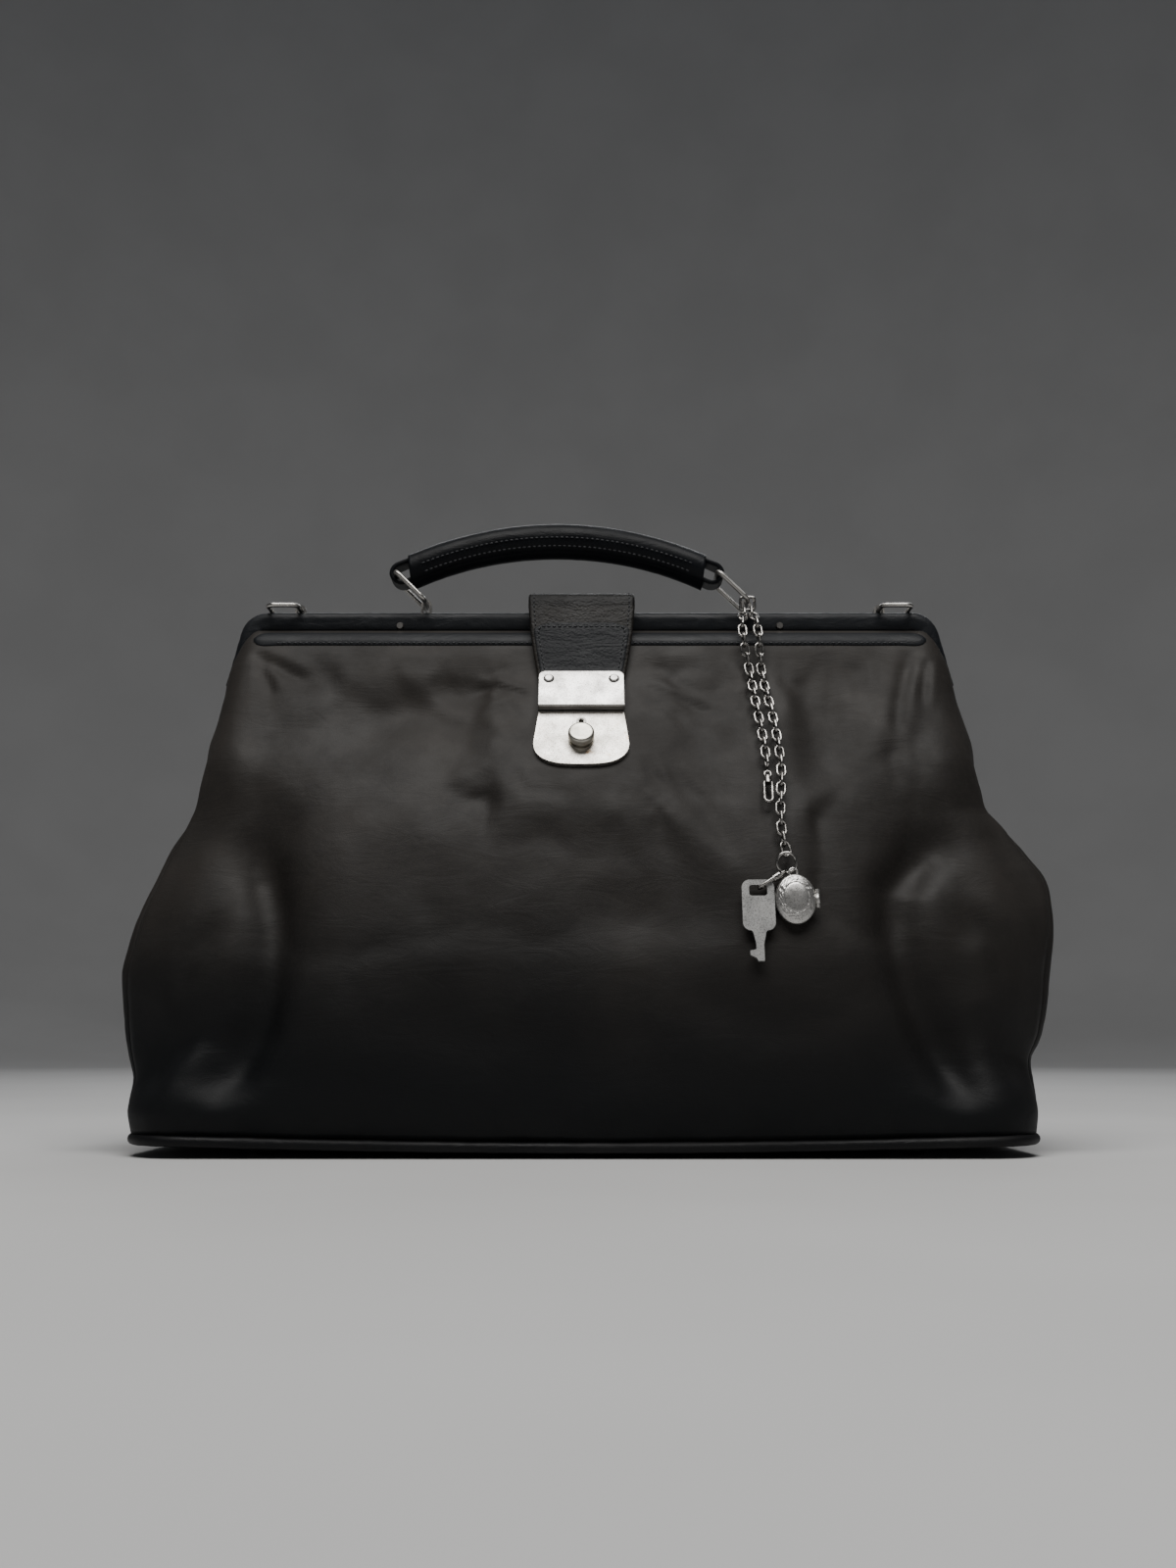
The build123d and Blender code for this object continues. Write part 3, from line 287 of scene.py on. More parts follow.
def leather(name, dark, light, rough=(0.42, 0.56), grain=1300.0, grain_depth=0.00006, creases=0.5,
            crease_scale=75.0, specular=0.2, low=None, high=None):
    """Leather: fine pebbled grain, a net of shallow creases, and worn lighter patches.

    Where low is given, the leather is that colour near its base and fades to its own higher up, as painted shade.
    Where high is given, the leather is that colour over the frame's top, as painted shade.
    """
    n = Nodes(name)
    colour = n.mix(n.ramp(n.noise(9.0, 3.0, 0.6, warp=0.6), 0.42, 0.72), dark, light)
    colour = n.mix(n.ramp(n.noise(420.0, 3.0, 0.6), 0.35, 0.75, 0.0, 0.35), colour, light)
    height = n.add("SeparateXYZ", out=2, Vector=n.place) if low or high else None
    # The low colour is painted shade: darker towards the base, with an edge that wanders with noise.
    if low:
        low_shade_edge = n.math("ADD", height, n.math("MULTIPLY", n.noise(6.0, 3.0), 0.09))
        colour = n.mix(n.ramp(low_shade_edge, 0.07, 0.19), low, colour)
    # The high colour is painted shade over the frame's top.
    if high:
        colour = n.mix(n.ramp(height, 0.2885, 0.2925), colour, high)
    bent = n.mix(0.012, n.place, n.noise(55.0, 3.0, 0.6), "ADD")
    net = n.add("TexVoronoi", {"feature": "DISTANCE_TO_EDGE"}, Vector=bent, Scale=crease_scale)
    lines = n.ramp(net, 0.0, 0.10)
    lines = n.mix(n.ramp(n.noise(14.0, 2.0), 0.42, 0.62), rgb(1, 1, 1), lines)
    pores = n.ramp(n.add("TexVoronoi", Vector=n.place, Scale=grain), 0.0, 0.75)
    stretched = n.noise(30.0, 4.0, 0.65, where=n.scaled((1.0, 1.0, 3.2)), warp=1.2)
    normal = n.bump(n.ramp(stretched, 0.3, 0.7), 0.35 * creases, 0.0009)
    normal = n.bump(lines, 0.30 * creases, 0.0003, normal)
    normal = n.bump(pores, 0.55, grain_depth, normal)
    rough_map = n.ramp(n.noise(26.0, 4.0, 0.6), 0.3, 0.7, rough[0], rough[1])
    n.set(Base_Color=colour, Roughness=rough_map, Normal=normal, Specular_IOR_Level=specular)
    return n.material


def aged_metal(name, bright, dark, speck=(0.60, 0.68), rough=(0.24, 0.46), brushed=(1.0, 1.0, 1.0), rust=0.0,
               speck_scale=1500.0, scratch=0.4):
    """Plated metal: dark specks, cloudy tarnish, faint brushing and, where asked, a little rust."""
    n = Nodes(name)
    cloud = n.noise(70.0, 4.0, 0.65)
    specks = n.ramp(n.noise(speck_scale, 4.0, 0.7), speck[0], speck[1])
    colour = n.mix(n.ramp(cloud, 0.35, 0.75, 0.0, 0.35), bright, dark)
    colour = n.mix(n.math("MULTIPLY", specks, 0.7), colour, dark)
    if rust:
        spots = n.ramp(n.noise(160.0, 5.0, 0.7), 0.56, 0.70)
        where = n.ramp(n.noise(38.0, 2.0), 0.45, 0.62)
        colour = n.mix(n.math("MULTIPLY", n.math("MULTIPLY", spots, where), rust), colour, rgb(0.33, 0.19, 0.08))
    lines = n.noise(900.0, 3.0, 0.6, where=n.scaled(brushed))
    normal = n.bump(lines, 0.12 * scratch, 0.0002)
    normal = n.bump(specks, 0.25, 0.00005, normal)
    n.set(Base_Color=colour, Metallic=1.0, Normal=normal, Roughness=n.ramp(cloud, 0.3, 0.7, rough[0], rough[1]))
    return n.material


def cloth(name, dark, light, scale=900.0):
    """A plain woven cloth."""
    n = Nodes(name)
    warp = n.add("TexWave", {"bands_direction": "Z"}, Vector=n.place, Scale=scale / 6)
    weft = n.add("TexWave", {"bands_direction": "X"}, Vector=n.place, Scale=scale / 6)
    weave = n.mix(0.5, warp, weft)
    colour = n.mix(n.ramp(n.noise(40.0, 4.0), 0.3, 0.7), dark, light)
    n.set(Base_Color=colour, Roughness=0.85, Normal=n.bump(weave, 0.3, 0.0002))
    return n.material


def thread_material(name, colour, light):
    """Twisted, waxed thread."""
    n = Nodes(name)
    twist = n.add("TexWave", {"bands_direction": "DIAGONAL"}, Vector=n.place, Scale=700.0)
    n.set(Base_Color=n.mix(n.ramp(twist, 0.2, 0.8), colour, light), Roughness=0.55, Normal=n.bump(twist, 0.4, 0.0001))
    return n.material


# The low colour, dark and bluish, is painted shade on the lower belly and base, where the leather faces away from the
# light.
BODY_LEATHER = leather("body_leather", rgb(0.0172, 0.0153, 0.0139), rgb(0.0282, 0.0248, 0.0220), rough=(0.52, 0.64),
                       grain=1500.0, grain_depth=0.00004, creases=0.30, crease_scale=48.0,
                       low=rgb(0.0036, 0.0042, 0.0050))
BASE_LEATHER = leather("base_leather", rgb(0.004, 0.0042, 0.005), rgb(0.009, 0.009, 0.0095), rough=(0.45, 0.6))
FRAME_LEATHER = leather("frame_leather", rgb(0.0055, 0.0066, 0.0085), rgb(0.0105, 0.012, 0.0145), rough=(0.44, 0.58),
                        creases=0.5, crease_scale=160.0)
# The high colour, near black, is painted shade on the strap over the frame's top.
STRAP_LEATHER = leather("strap_leather", rgb(0.0075, 0.0068, 0.0060), rgb(0.021, 0.018, 0.015), rough=(0.48, 0.62),
                        grain=620.0, grain_depth=0.00022, creases=0.9, crease_scale=190.0,
                        high=rgb(0.0036, 0.0034, 0.0033))
FACING_LEATHER = leather("facing_leather", rgb(0.0070, 0.0082, 0.0102), rgb(0.0155, 0.0165, 0.0185), rough=(0.48, 0.62),
                         grain=620.0, grain_depth=0.00022, creases=1.0, crease_scale=210.0)
HANDLE_LEATHER = leather("handle_leather", rgb(0.0035, 0.0040, 0.0052), rgb(0.0075, 0.0085, 0.0105), rough=(0.38, 0.50),
                         creases=0.4, crease_scale=150.0, specular=0.11)
SUEDE = leather("leather_inside", rgb(0.055, 0.042, 0.032), rgb(0.095, 0.076, 0.058), rough=(0.8, 0.95), grain=2200.0,
                grain_depth=0.0001, creases=0.2, specular=0.1)
# Dark leather used only for the rings round the hasp's rivets: painted shade.
EDGE = leather("rivet_ring_painted_shade", rgb(0.010, 0.009, 0.009), rgb(0.022, 0.019, 0.017), rough=(0.35, 0.5), creases=0.2)
THREAD = thread_material("black_thread", rgb(0.010, 0.011, 0.013), rgb(0.035, 0.037, 0.042))
LINING = cloth("lining_cloth", rgb(0.085, 0.070, 0.055), rgb(0.13, 0.11, 0.088))
NICKEL = aged_metal("nickel_fittings", rgb(0.50, 0.485, 0.46), rgb(0.09, 0.08, 0.07), rough=(0.22, 0.42))
LOCK_NICKEL = aged_metal("lock_nickel", rgb(0.75, 0.74, 0.72), rgb(0.20, 0.18, 0.16), speck=(0.52, 0.64),
                         rough=(0.34, 0.52), scratch=0.8)
PLATE_NICKEL = aged_metal("plate_nickel", rgb(0.71, 0.69, 0.65), rgb(0.20, 0.16, 0.12), speck=(0.51, 0.64),
                          rough=(0.34, 0.5), rust=0.8, scratch=0.8)
KNOB_NICKEL = aged_metal("knob_nickel", rgb(0.52, 0.50, 0.45), rgb(0.13, 0.11, 0.08), rough=(0.26, 0.42), rust=0.3)
STEEL = aged_metal("plain_steel", rgb(0.30, 0.30, 0.31), rgb(0.07, 0.065, 0.06), rough=(0.3, 0.5))
CHAIN_SILVER = aged_metal("chain_silver", rgb(0.46, 0.445, 0.425), rgb(0.035, 0.032, 0.03), speck=(0.45, 0.62),
                          rough=(0.18, 0.36), speck_scale=520.0)
KEY_STEEL = aged_metal("key_steel", rgb(0.64, 0.64, 0.63), rgb(0.16, 0.155, 0.15), speck=(0.47, 0.64),
                       rough=(0.38, 0.56), brushed=(1.0, 1.0, 0.15), scratch=1.2)
LOCKET_SILVER = aged_metal("locket_silver", rgb(0.66, 0.65, 0.63), rgb(0.07, 0.066, 0.062), speck=(0.50, 0.66),
                           rough=(0.3, 0.46))
# Dark nickel: on the feet, their washers and the hasp's bent lip its darkness is painted shade; on the frame rivets and
# the keyhole's ring it is simply darker nickel.
DARK_NICKEL_AND_SHADE = aged_metal("dark_nickel_and_painted_shade", rgb(0.26, 0.25, 0.24), rgb(0.05, 0.045, 0.04), rough=(0.3, 0.5))
BOARD = cloth("base_fibreboard", rgb(0.20, 0.145, 0.09), rgb(0.27, 0.20, 0.13), scale=300.0)
CORD = cloth("handle_cord", rgb(0.36, 0.30, 0.21), rgb(0.48, 0.41, 0.30), scale=600.0)

for node_material, node_names in (
    (STEEL, "front_frame rear_frame lock_case lock_catch lock_spring hasp_hook"),
    (NICKEL, "hinge_pins handle_staples shoulder_staples handle_ring_left handle_ring_right"),
    (NICKEL, "shoulder_ring_left shoulder_ring_right"),
    # the feet and their washers in dark nickel: painted shade under the bag
    (DARK_NICKEL_AND_SHADE, "feet foot_washers front_frame_rivets rear_frame_rivets keyhole_ring"),
    (LOCK_NICKEL, "hasp_rivets"),
    (KNOB_NICKEL, "lock_knob"),
    (CHAIN_SILVER, "chain_ring chain_long_strand chain_short_strand chain_clasp key_clasp"),
    (KEY_STEEL, "key"),
    (LOCKET_SILVER, "locket_back locket_bail locket_hinge_pin"),
    (BOARD, "base_board"),
    (CORD, "handle_core"),
):
    for node_name in node_names.split():
        data = nodes[node_name].data
        data.materials.clear()
        data.materials.append(node_material)
        data.polygons.foreach_set("material_index", [0] * len(data.polygons))

# ---------------------------------------------------------------- stitching


def stitch_row(path, outward, length=2.1, pitch=3.1, radius=0.36, sink=0.12):
    """One row of stitches: short threads that dip into the leather at both ends. Millimetres."""
    line = even_path(np.asarray(path, float), pitch)
    outward = unit(np.broadcast_to(np.asarray(outward, float), np.asarray(path).shape))
    run = np.linspace(0, 1, len(path))
    verts, faces = [], []
    for number in range(len(line) - 1):
        centre = (line[number] + line[number + 1]) / 2
        tangent = unit(line[number + 1] - line[number])
        at = (number + 0.5) / (len(line) - 1)
        out = unit([np.interp(at, run, outward[:, k]) for k in range(3)])
        side = unit(np.cross(tangent, out))
        base = len(verts)
        for t in np.linspace(-1, 1, 6):
            thick = radius * math.sqrt(max(0.0, 1 - 0.82 * t * t))
            middle = centre + tangent * t * length / 2 + out * (radius * 0.55 * (1 - t * t) - sink)
            for k in range(6):
                angle = math.tau * k / 6
                verts.append(middle + side * thick * math.cos(angle) + out * thick * math.sin(angle))
        faces += grid_faces(6, 6, closed=True, start=base)
        faces += [tuple(reversed(range(base, base + 6))), tuple(range(base + 30, base + 36))]
    return np.array(verts), faces


def stitches(name, rows, body):
    """Several rows of stitches in one piece."""
    verts, faces = joined(rows)
    return new_object(name, verts * MM, faces, [THREAD], body)


# ---------------------------------------------------------------- the leather body
# Horizontal sections, in millimetres: height, half length, half depth, corner radius, half width of the gusset.
SECTIONS = np.array([
    (11, 216, 89, 28, 66), (23, 232, 94, 36, 67), (38, 239, 96, 43, 68), (50, 242, 97, 48, 67), (90, 247, 97, 50, 69),
    (130, 236, 89, 46, 59), (180, 218, 69, 36, 45), (225, 206.15, 43.93, 26, 14.5), (236, 204, 37.8, 22, 13.7),
    (250, 202.15, 30, 18, 13.6), (270, 195.65, 21, 14, 13.6), (278, 192.45, 15, 11, 13.6),
])
# How far each end really reaches, seen from the front: height, left, right. The right gusset stands out in a lobe.
ENDS = np.array([
    (11, 225, 219), (24, 228.5, 221), (36, 227.5, 220.5), (47, 230.5, 221), (55, 232.5, 226), (70, 235, 230),
    (88, 236.5, 233), (100, 234, 235), (124, 228, 237), (139, 222.5, 235.5), (148, 219.5, 229.5),
    (157, 216, 223.5), (166, 213, 218.5),
    (172, 211, 212.5), (184, 209, 210), (200, 206.5, 208), (211, 204.3, 205.5), (225, 201.5, 202), (239, 199, 199),
    (254, 198, 198), (278, 192, 192),
])
GUSSET_TOP = 236.0
LEATHER = 2.4
LOCK_X, CHAIN_X, PENDANTS_X = -4.5, 91.0, 93.0
FRONT_COLS, ARC_COLS, GUSSET_COLS, REAR_COLS = 84, 12, 26, 50
row_heights = np.concatenate([np.linspace(11, GUSSET_TOP, 44), np.linspace(GUSSET_TOP, 278, 11)[1:]])


def loop_at(z):
    """The closed outline of the body at height z, from the left seam round the front."""
    hx, hy, corner, gusset = (float(smooth_curve(z, SECTIONS[:, 0], SECTIONS[:, k])) for k in range(1, 5))
    straight, inner = hy - corner, hx - corner
    quarter = corner * math.pi / 2
    seam = corner * math.acos((gusset - straight) / corner) if gusset > straight else quarter + straight - gusset
    total = 2 * (quarter + straight)
    end = []
    for s in np.concatenate([np.linspace(0, seam, ARC_COLS + 1), np.linspace(seam, total - seam, GUSSET_COLS + 1)[1:],
                             np.linspace(total - seam, total, ARC_COLS + 1)[1:]]):
        if s < quarter:
            end.append((inner + corner * math.sin(s / corner), -straight - corner * math.cos(s / corner)))
        elif s < total - quarter:
            end.append((hx, s - quarter - straight))
        else:
            turn = (s - total + quarter) / corner
            end.append((inner + corner * math.cos(turn), straight + corner * math.sin(turn)))
    opposite = [(-x, -y) for x, y in end]
    loop = opposite[ARC_COLS + GUSSET_COLS:] + [(x, -hy) for x in np.linspace(-inner, inner, FRONT_COLS + 1)[1:-1]]
    loop += end + [(x, hy) for x in np.linspace(inner, -inner, REAR_COLS + 1)[1:-1]] + opposite[:ARC_COLS + GUSSET_COLS]
    return [(x, y, z) for x, y in loop]


def base_sag(x):
    """How far the base hangs down at x."""
    return 3.2 * np.cos(np.clip(x / 205, -1, 1) * math.pi / 2)


def patch(x, z, centre, near, heights):
    """1 near the centre and high up, fading to 0 between the two limits of each."""
    return (1 - smoothstep(*near, np.abs(x - centre))) * smoothstep(*heights, z)


body = np.array([loop_at(z) for z in row_heights])
COLS = body.shape[1]
front_last = 2 * ARC_COLS + FRONT_COLS
right_last = front_last + GUSSET_COLS
rear_last = right_last + 2 * ARC_COLS + REAR_COLS

# The broad shape: the front's rounded ends, the gussets' folds and lobes, and the sag of the base.
X, Y, Z = np.moveaxis(body, 2, 0)
half_depth = smooth_curve(Z, SECTIONS[:, 0], SECTIONS[:, 2])
half_length = smooth_curve(Z, SECTIONS[:, 0], SECTIONS[:, 1])
facing = np.clip(-Y / half_depth, -1, 1)
front_less_rear = smoothstep(0.55, 0.95, facing) - smoothstep(0.55, 0.95, -facing)
belly = smoothstep(14, 60, Z) * (1 - smoothstep(150, 205, Z))
body[..., 1] += front_less_rear * smoothstep(118, 190, np.abs(X)) * belly * 15.0
side = smoothstep(0.86, 0.97, np.abs(X) / half_length) * (1 - smoothstep(0.35, 0.95, np.abs(facing)))
fold = np.exp(-((Y / (0.30 * half_depth + 4)) ** 2))
tuck = side * fold * (smoothstep(118, 178, Z) * 15.0 * (1 - 0.75 * smoothstep(195, 236, Z)))
reach = np.where(X > 0, smooth_curve(Z, ENDS[:, 0], ENDS[:, 2]), smooth_curve(Z, ENDS[:, 0], ENDS[:, 1]))
bulge = 8.0 * (1 - smoothstep(0.05, 0.5, np.abs(facing))) * smoothstep(20, 70, Z) * (1 - smoothstep(110, 170, Z))
drawn_out = (reach + bulge - half_length) * smoothstep(0.5, 1.0, np.abs(X) / half_length)
body[..., 0] += np.sign(X) * (drawn_out - tuck)
body[..., 2] -= base_sag(X) * (1 - smoothstep(11, 60, Z))


def relaxed(grid):
    """The leather settled by a cloth simulation, with its edges, the lock's seat and its broad shape held."""
    rows, cols = grid.shape[:2]
    mesh = bpy.data.meshes.new("cloth_start")
    mesh.from_pydata([tuple(v) for v in grid.reshape(-1, 3) * MM], [], grid_faces(rows, cols, closed=True))
    obj = bpy.data.objects.new("cloth_start", mesh)
    bpy.context.scene.collection.objects.link(obj)
    x, y, z = grid.reshape(-1, 3).T
    hold = np.maximum.reduce([
        np.full(len(x), 0.06), smoothstep(225, 268, z) ** 2, (1 - smoothstep(11, 45, z)) ** 2,
        patch(x, z, LOCK_X, (29, 60), (150, 192)) * (y < 0), 0.25 * patch(x, z, CHAIN_X, (16, 28), (70, 90)) * (y < 0),
    ])
    group = obj.vertex_groups.new(name="hold")
    for index, weight in enumerate(hold):
        group.add([index], float(weight), "REPLACE")
    modifier = obj.modifiers.new("Cloth", "CLOTH")
    for key, value in dict(
        quality=6, mass=0.35, tension_stiffness=45, compression_stiffness=45, shear_stiffness=30, bending_stiffness=12,
        tension_damping=15, compression_damping=15, shrink_min=-0.008, shrink_max=-0.008, vertex_group_mass="hold",
        pin_stiffness=1,
    ).items():
        setattr(modifier.settings, key, value)
    modifier.settings.effector_weights.gravity = 0.3
    modifier.collision_settings.use_collision = False
    scene = bpy.context.scene
    scene.frame_start, scene.frame_end = 1, 30
    modifier.point_cache.frame_start, modifier.point_cache.frame_end = 1, 30
    for number in range(1, 27):
        scene.frame_set(number)
    result = obj.evaluated_get(bpy.context.evaluated_depsgraph_get())
    out = np.empty(rows * cols * 3)
    result.data.vertices.foreach_get("co", out)
    bpy.data.objects.remove(obj)
    bpy.data.meshes.remove(mesh)
    scene.frame_set(1)

    # How far each point may go: less at the ends, the top and the base, and hardly at all behind the chain and lock.
    across, depth, height = np.moveaxis(grid, 2, 0)
    settled = smoothstep(60, 190, height) * (1 - smoothstep(240, 266, height))
    settled *= 1 - 0.8 * smoothstep(125, 175, np.abs(across))
    moved = (out.reshape(rows, cols, 3) / MM - grid) * settled[..., None]
    normal = grid_normals(grid)
    outward = np.sum(moved * normal, axis=-1)
    sliding = moved - normal * outward[..., None]
    most_in, most_slide = 5.0, 2.5
    most_out = np.where((np.abs(across - CHAIN_X) < 32) & (depth < 0) & (height > 85), 0.2, 1.8)
    most_out[(np.abs(across - LOCK_X) < 40) & (depth < 0) & (height > 185)] = 0.0
    sliding *= np.minimum(1.0, most_slide / np.maximum(np.linalg.norm(sliding, axis=-1, keepdims=True), 1e-6))
    return grid + sliding + normal * np.clip(outward, -most_in, most_out)[..., None]


body = relaxed(body)


def doubled(grid):
    """The grid, closed along its rows, with a point between each two, on a smooth curve, both ways."""
    for axis in (1, 0):
        g = np.moveaxis(grid, axis, 0)
        before, after = (g[-1:], g[:2]) if axis else ([2 * g[0] - g[1]], [2 * g[-1] - g[-2]])
        padded = np.concatenate([before, g, after])
        middle = (9 * (padded[1:-2] + padded[2:-1]) - padded[:-3] - padded[3:]) / 16
        out = np.empty((len(g) + len(middle),) + g.shape[1:])
        out[0::2], out[1::2] = g, middle
        grid = np.moveaxis(out, 0, axis)
    return grid


body = doubled(body)
front_last, right_last, rear_last, COLS = 2 * front_last, 2 * right_last, 2 * rear_last, 2 * COLS
smooth_normals = grid_normals(body)
X, Y, Z = np.moveaxis(body, 2, 0)
on_front = smoothstep(0.25, 0.75, -smooth_normals[..., 1])
on_rear = smoothstep(0.25, 0.75, smooth_normals[..., 1])
on_sides = smoothstep(0.45, 0.85, np.abs(smooth_normals[..., 0]))


def crease(points, width, depth, sharp, fade):
    """A valley across the front along points (x, z). A sharp one has a lip on its upper side."""
    points = np.array(points, float)
    best, signed, run = np.full(X.shape, 1e9), np.zeros(X.shape), np.zeros(X.shape)
    lengths = np.linalg.norm(np.diff(points, axis=0), axis=1)
    total, done = lengths.sum(), 0.0
    for (a, b), length in zip(zip(points, points[1:]), lengths):
        along = (b - a) / length
        rel_x, rel_z = X - a[0], Z - a[1]
        t = np.clip((rel_x * along[0] + rel_z * along[1]) / length, 0, 1)
        dx, dz = rel_x - t * length * along[0], rel_z - t * length * along[1]
        distance = np.hypot(dx, dz)
        nearer = distance < best
        best = np.where(nearer, distance, best)
        signed = np.where(nearer, dx * -along[1] + dz * along[0], signed)
        run = np.where(nearer, (done + t * length) / total, run)
        done += length
    ends_fade = smoothstep(0, fade, run) * (1 - smoothstep(1 - fade, 1, run))
    valley = -depth * np.exp(-((best / width) ** 2))
    above = ((signed - 1.5 * width) / (1.2 * width)) ** 2
    lip = sharp * depth * np.exp(-above - np.maximum(best - 3 * width, 0) / width)
    return (valley + lip) * ends_fade * on_front


def straight_fold(u, v, u0, v0, u1, v1, width, depth):
    """The depth of a soft valley along a line from (u0, v0) to (u1, v1) that fades at its ends."""
    length = math.hypot(u1 - u0, v1 - v0)
    along_u, along_v = (u1 - u0) / length, (v1 - v0) / length
    t = np.clip(((u - u0) * along_u + (v - v0) * along_v) / length, 0, 1)
    distance = np.hypot(u - u0 - t * length * along_u, v - v0 - t * length * along_v)
    return depth * np.exp(-((distance / width) ** 2)) * smoothstep(0, 0.3, t) * (1 - smoothstep(0.7, 1, t))


relief = 0.9 * noise_at(body * (1, 1, 1.4), 0.011, 3.1, 2)
relief += 0.38 * noise_at(body * (1, 1, 0.8), 0.034, 7.7, 2)
relief += 0.14 * noise_at(body, 0.10, 1.3, 2)
relief *= (1 - patch(X, Z, LOCK_X, (28, 40), (176, 190)) * on_front) * (1 - smoothstep(262, 270, Z))

# Folds of the front: points (x, z), width, depth, how sharp, and how much of each end fades.
for front_fold in [
    # the diagonal valley under the left of the frame, and the sharp creases beside the lock
    ([(-138, 205), (-116, 218), (-83, 236), (-58, 246), (-36, 250)], 12, 3.2, 0.2, 0.3),
    ([(-66, 239), (-52, 243), (-40, 238), (-28, 234)], 2.4, 1.5, 0.9, 0.3),
    ([(-62, 233), (-48, 237), (-32, 228)], 1.8, 0.9, 0.8, 0.3),
    ([(-58, 225), (-44, 230), (-34, 222)], 2.6, 0.9, 0.6, 0.3),
    ([(-56, 196), (-53, 182), (-55, 168)], 7, 1.6, 0.2, 0.4),
    ([(-40, 196), (-36, 186), (-30, 178)], 3, 0.8, 0.5, 0.4),
    ([(24, 244), (38, 238), (58, 229), (74, 226)], 2.8, 1.3, 0.8, 0.3),
    ([(26, 236), (40, 230), (52, 219)], 3.2, 1.0, 0.6, 0.3),
    ([(26, 258), (46, 252), (66, 254)], 6, 1.2, 0.3, 0.3),
    ([(27, 200), (33, 188), (42, 180)], 3.2, 1.0, 0.6, 0.4),
    ([(38, 206), (44, 190), (52, 172)], 6, 1.0, 0.3, 0.4),
    # the corners under the frame
    ([(-186, 268), (-176, 259), (-160, 250), (-146, 244)], 3.6, 1.7, 0.7, 0.3),
    ([(-181, 258), (-173, 246), (-168, 234)], 3.0, 1.4, 0.6, 0.3),
    ([(-150, 262), (-142, 246), (-146, 228)], 7, 1.5, 0.3, 0.35),
    ([(176, 270), (171, 252), (164, 232), (160, 208)], 4.2, 1.9, 0.7, 0.3),
    ([(183, 262), (179, 246), (176, 228)], 3.2, 1.5, 0.6, 0.3),
    ([(160, 214), (157, 198), (160, 180)], 5, 1.2, 0.5, 0.35),
    ([(172, 226), (170, 206), (174, 186)], 5, 1.1, 0.5, 0.35),
    ([(147, 262), (143, 248), (146, 232)], 6, 1.1, 0.4, 0.35),
    ([(128, 266), (123, 240), (122, 208), (126, 176)], 15, 2.8, 0.1, 0.3),
    # broad folds of the lower front
    ([(-20, 140), (20, 118), (64, 112), (98, 100)], 16, 1.6, 0.2, 0.35),
    ([(-120, 70), (-60, 54), (10, 50), (70, 60)], 18, 2.0, 0.2, 0.35),
    ([(-104, 158), (-80, 128), (-76, 96)], 13, 1.1, 0.2, 0.35),
    ([(40, 80), (84, 62), (130, 58)], 12, 1.2, 0.2, 0.35),
    ([(-150, 176), (-158, 150), (-152, 128)], 8, 1.4, 0.3, 0.35),
    # the dark hollows where the front turns into the gussets
    ([(-176, 166), (-165, 140), (-157, 118), (-156, 92), (-160, 64), (-170, 42), (-190, 22)], 11, 8.5, 0.0, 0.22),
    ([(192, 160), (170, 150), (151, 130), (151, 108), (156, 84), (165, 60), (176, 36), (190, 18)], 11, 9.5, 0.0, 0.2),
    ([(-180, 120), (-196, 96), (-204, 70)], 8, 3.0, 0.3, 0.35),
    ([(178, 122), (198, 104), (210, 78)], 9, 3.2, 0.3, 0.35),
    ([(186, 74), (202, 50), (214, 30)], 6, 2.4, 0.5, 0.35),
    ([(-188, 62), (-206, 44), (-216, 28)], 6, 2.2, 0.5, 0.35),
]:
    relief += crease(*front_fold)

# Folds of the gussets and of the rear, from the bag's own way of closing: two ends, width and depth.
for fold in [
    (-34, 214, -44, 150, 7, 2.6), (30, 214, 40, 156, 7, 2.6), (-14, 150, -34, 92, 10, 2.4), (16, 150, 30, 96, 10, 2.4),
    (-52, 74, -18, 44, 8, 2.2), (50, 76, 20, 46, 8, 2.0), (-20, 40, 26, 34, 7, 1.8), (-6, 120, 10, 66, 12, 2.0),
]:
    relief -= straight_fold(Y, Z, *fold) * on_sides * smoothstep(0, 10, 236 - Z)
for fold in [
    (-170, 250, -120, 216, 5, 1.6), (168, 252, 130, 214, 5, 1.6), (-60, 252, -96, 214, 9, 2.0),
    (52, 252, 92, 220, 9, 1.8), (-160, 170, -150, 60, 12, 6.5), (162, 168, 152, 64, 12, 6.0),
    (-70, 120, 40, 96, 16, 2.0), (20, 70, 120, 50, 16, 1.8), (-10, 244, -4, 190, 10, 1.6), (-40, 200, -66, 150, 9, 1.2),
]:
    relief -= straight_fold(X, Z, *fold) * on_rear
relief *= 1 - smoothstep(261, 268, Z)

# Nothing rises towards the chain and its pendants. The lock's seat stays flat, a little raised over the lock's case.
near_chain = patch(X, Z, PENDANTS_X, (26, 36), (84, 96)) * on_front
relief = np.where(near_chain > 0, np.minimum(relief, relief * (1 - near_chain) + 0.15), relief)
relief *= 1 - patch(X, Z, LOCK_X, (26, 31), (180, 188)) * on_front
relief += 0.35 * patch(X, Z, LOCK_X, (20, 26), (221, 224)) * (1 - smoothstep(235, 240, Z)) * on_front
body = body + smooth_normals * relief[..., None]
normals = grid_normals(body)


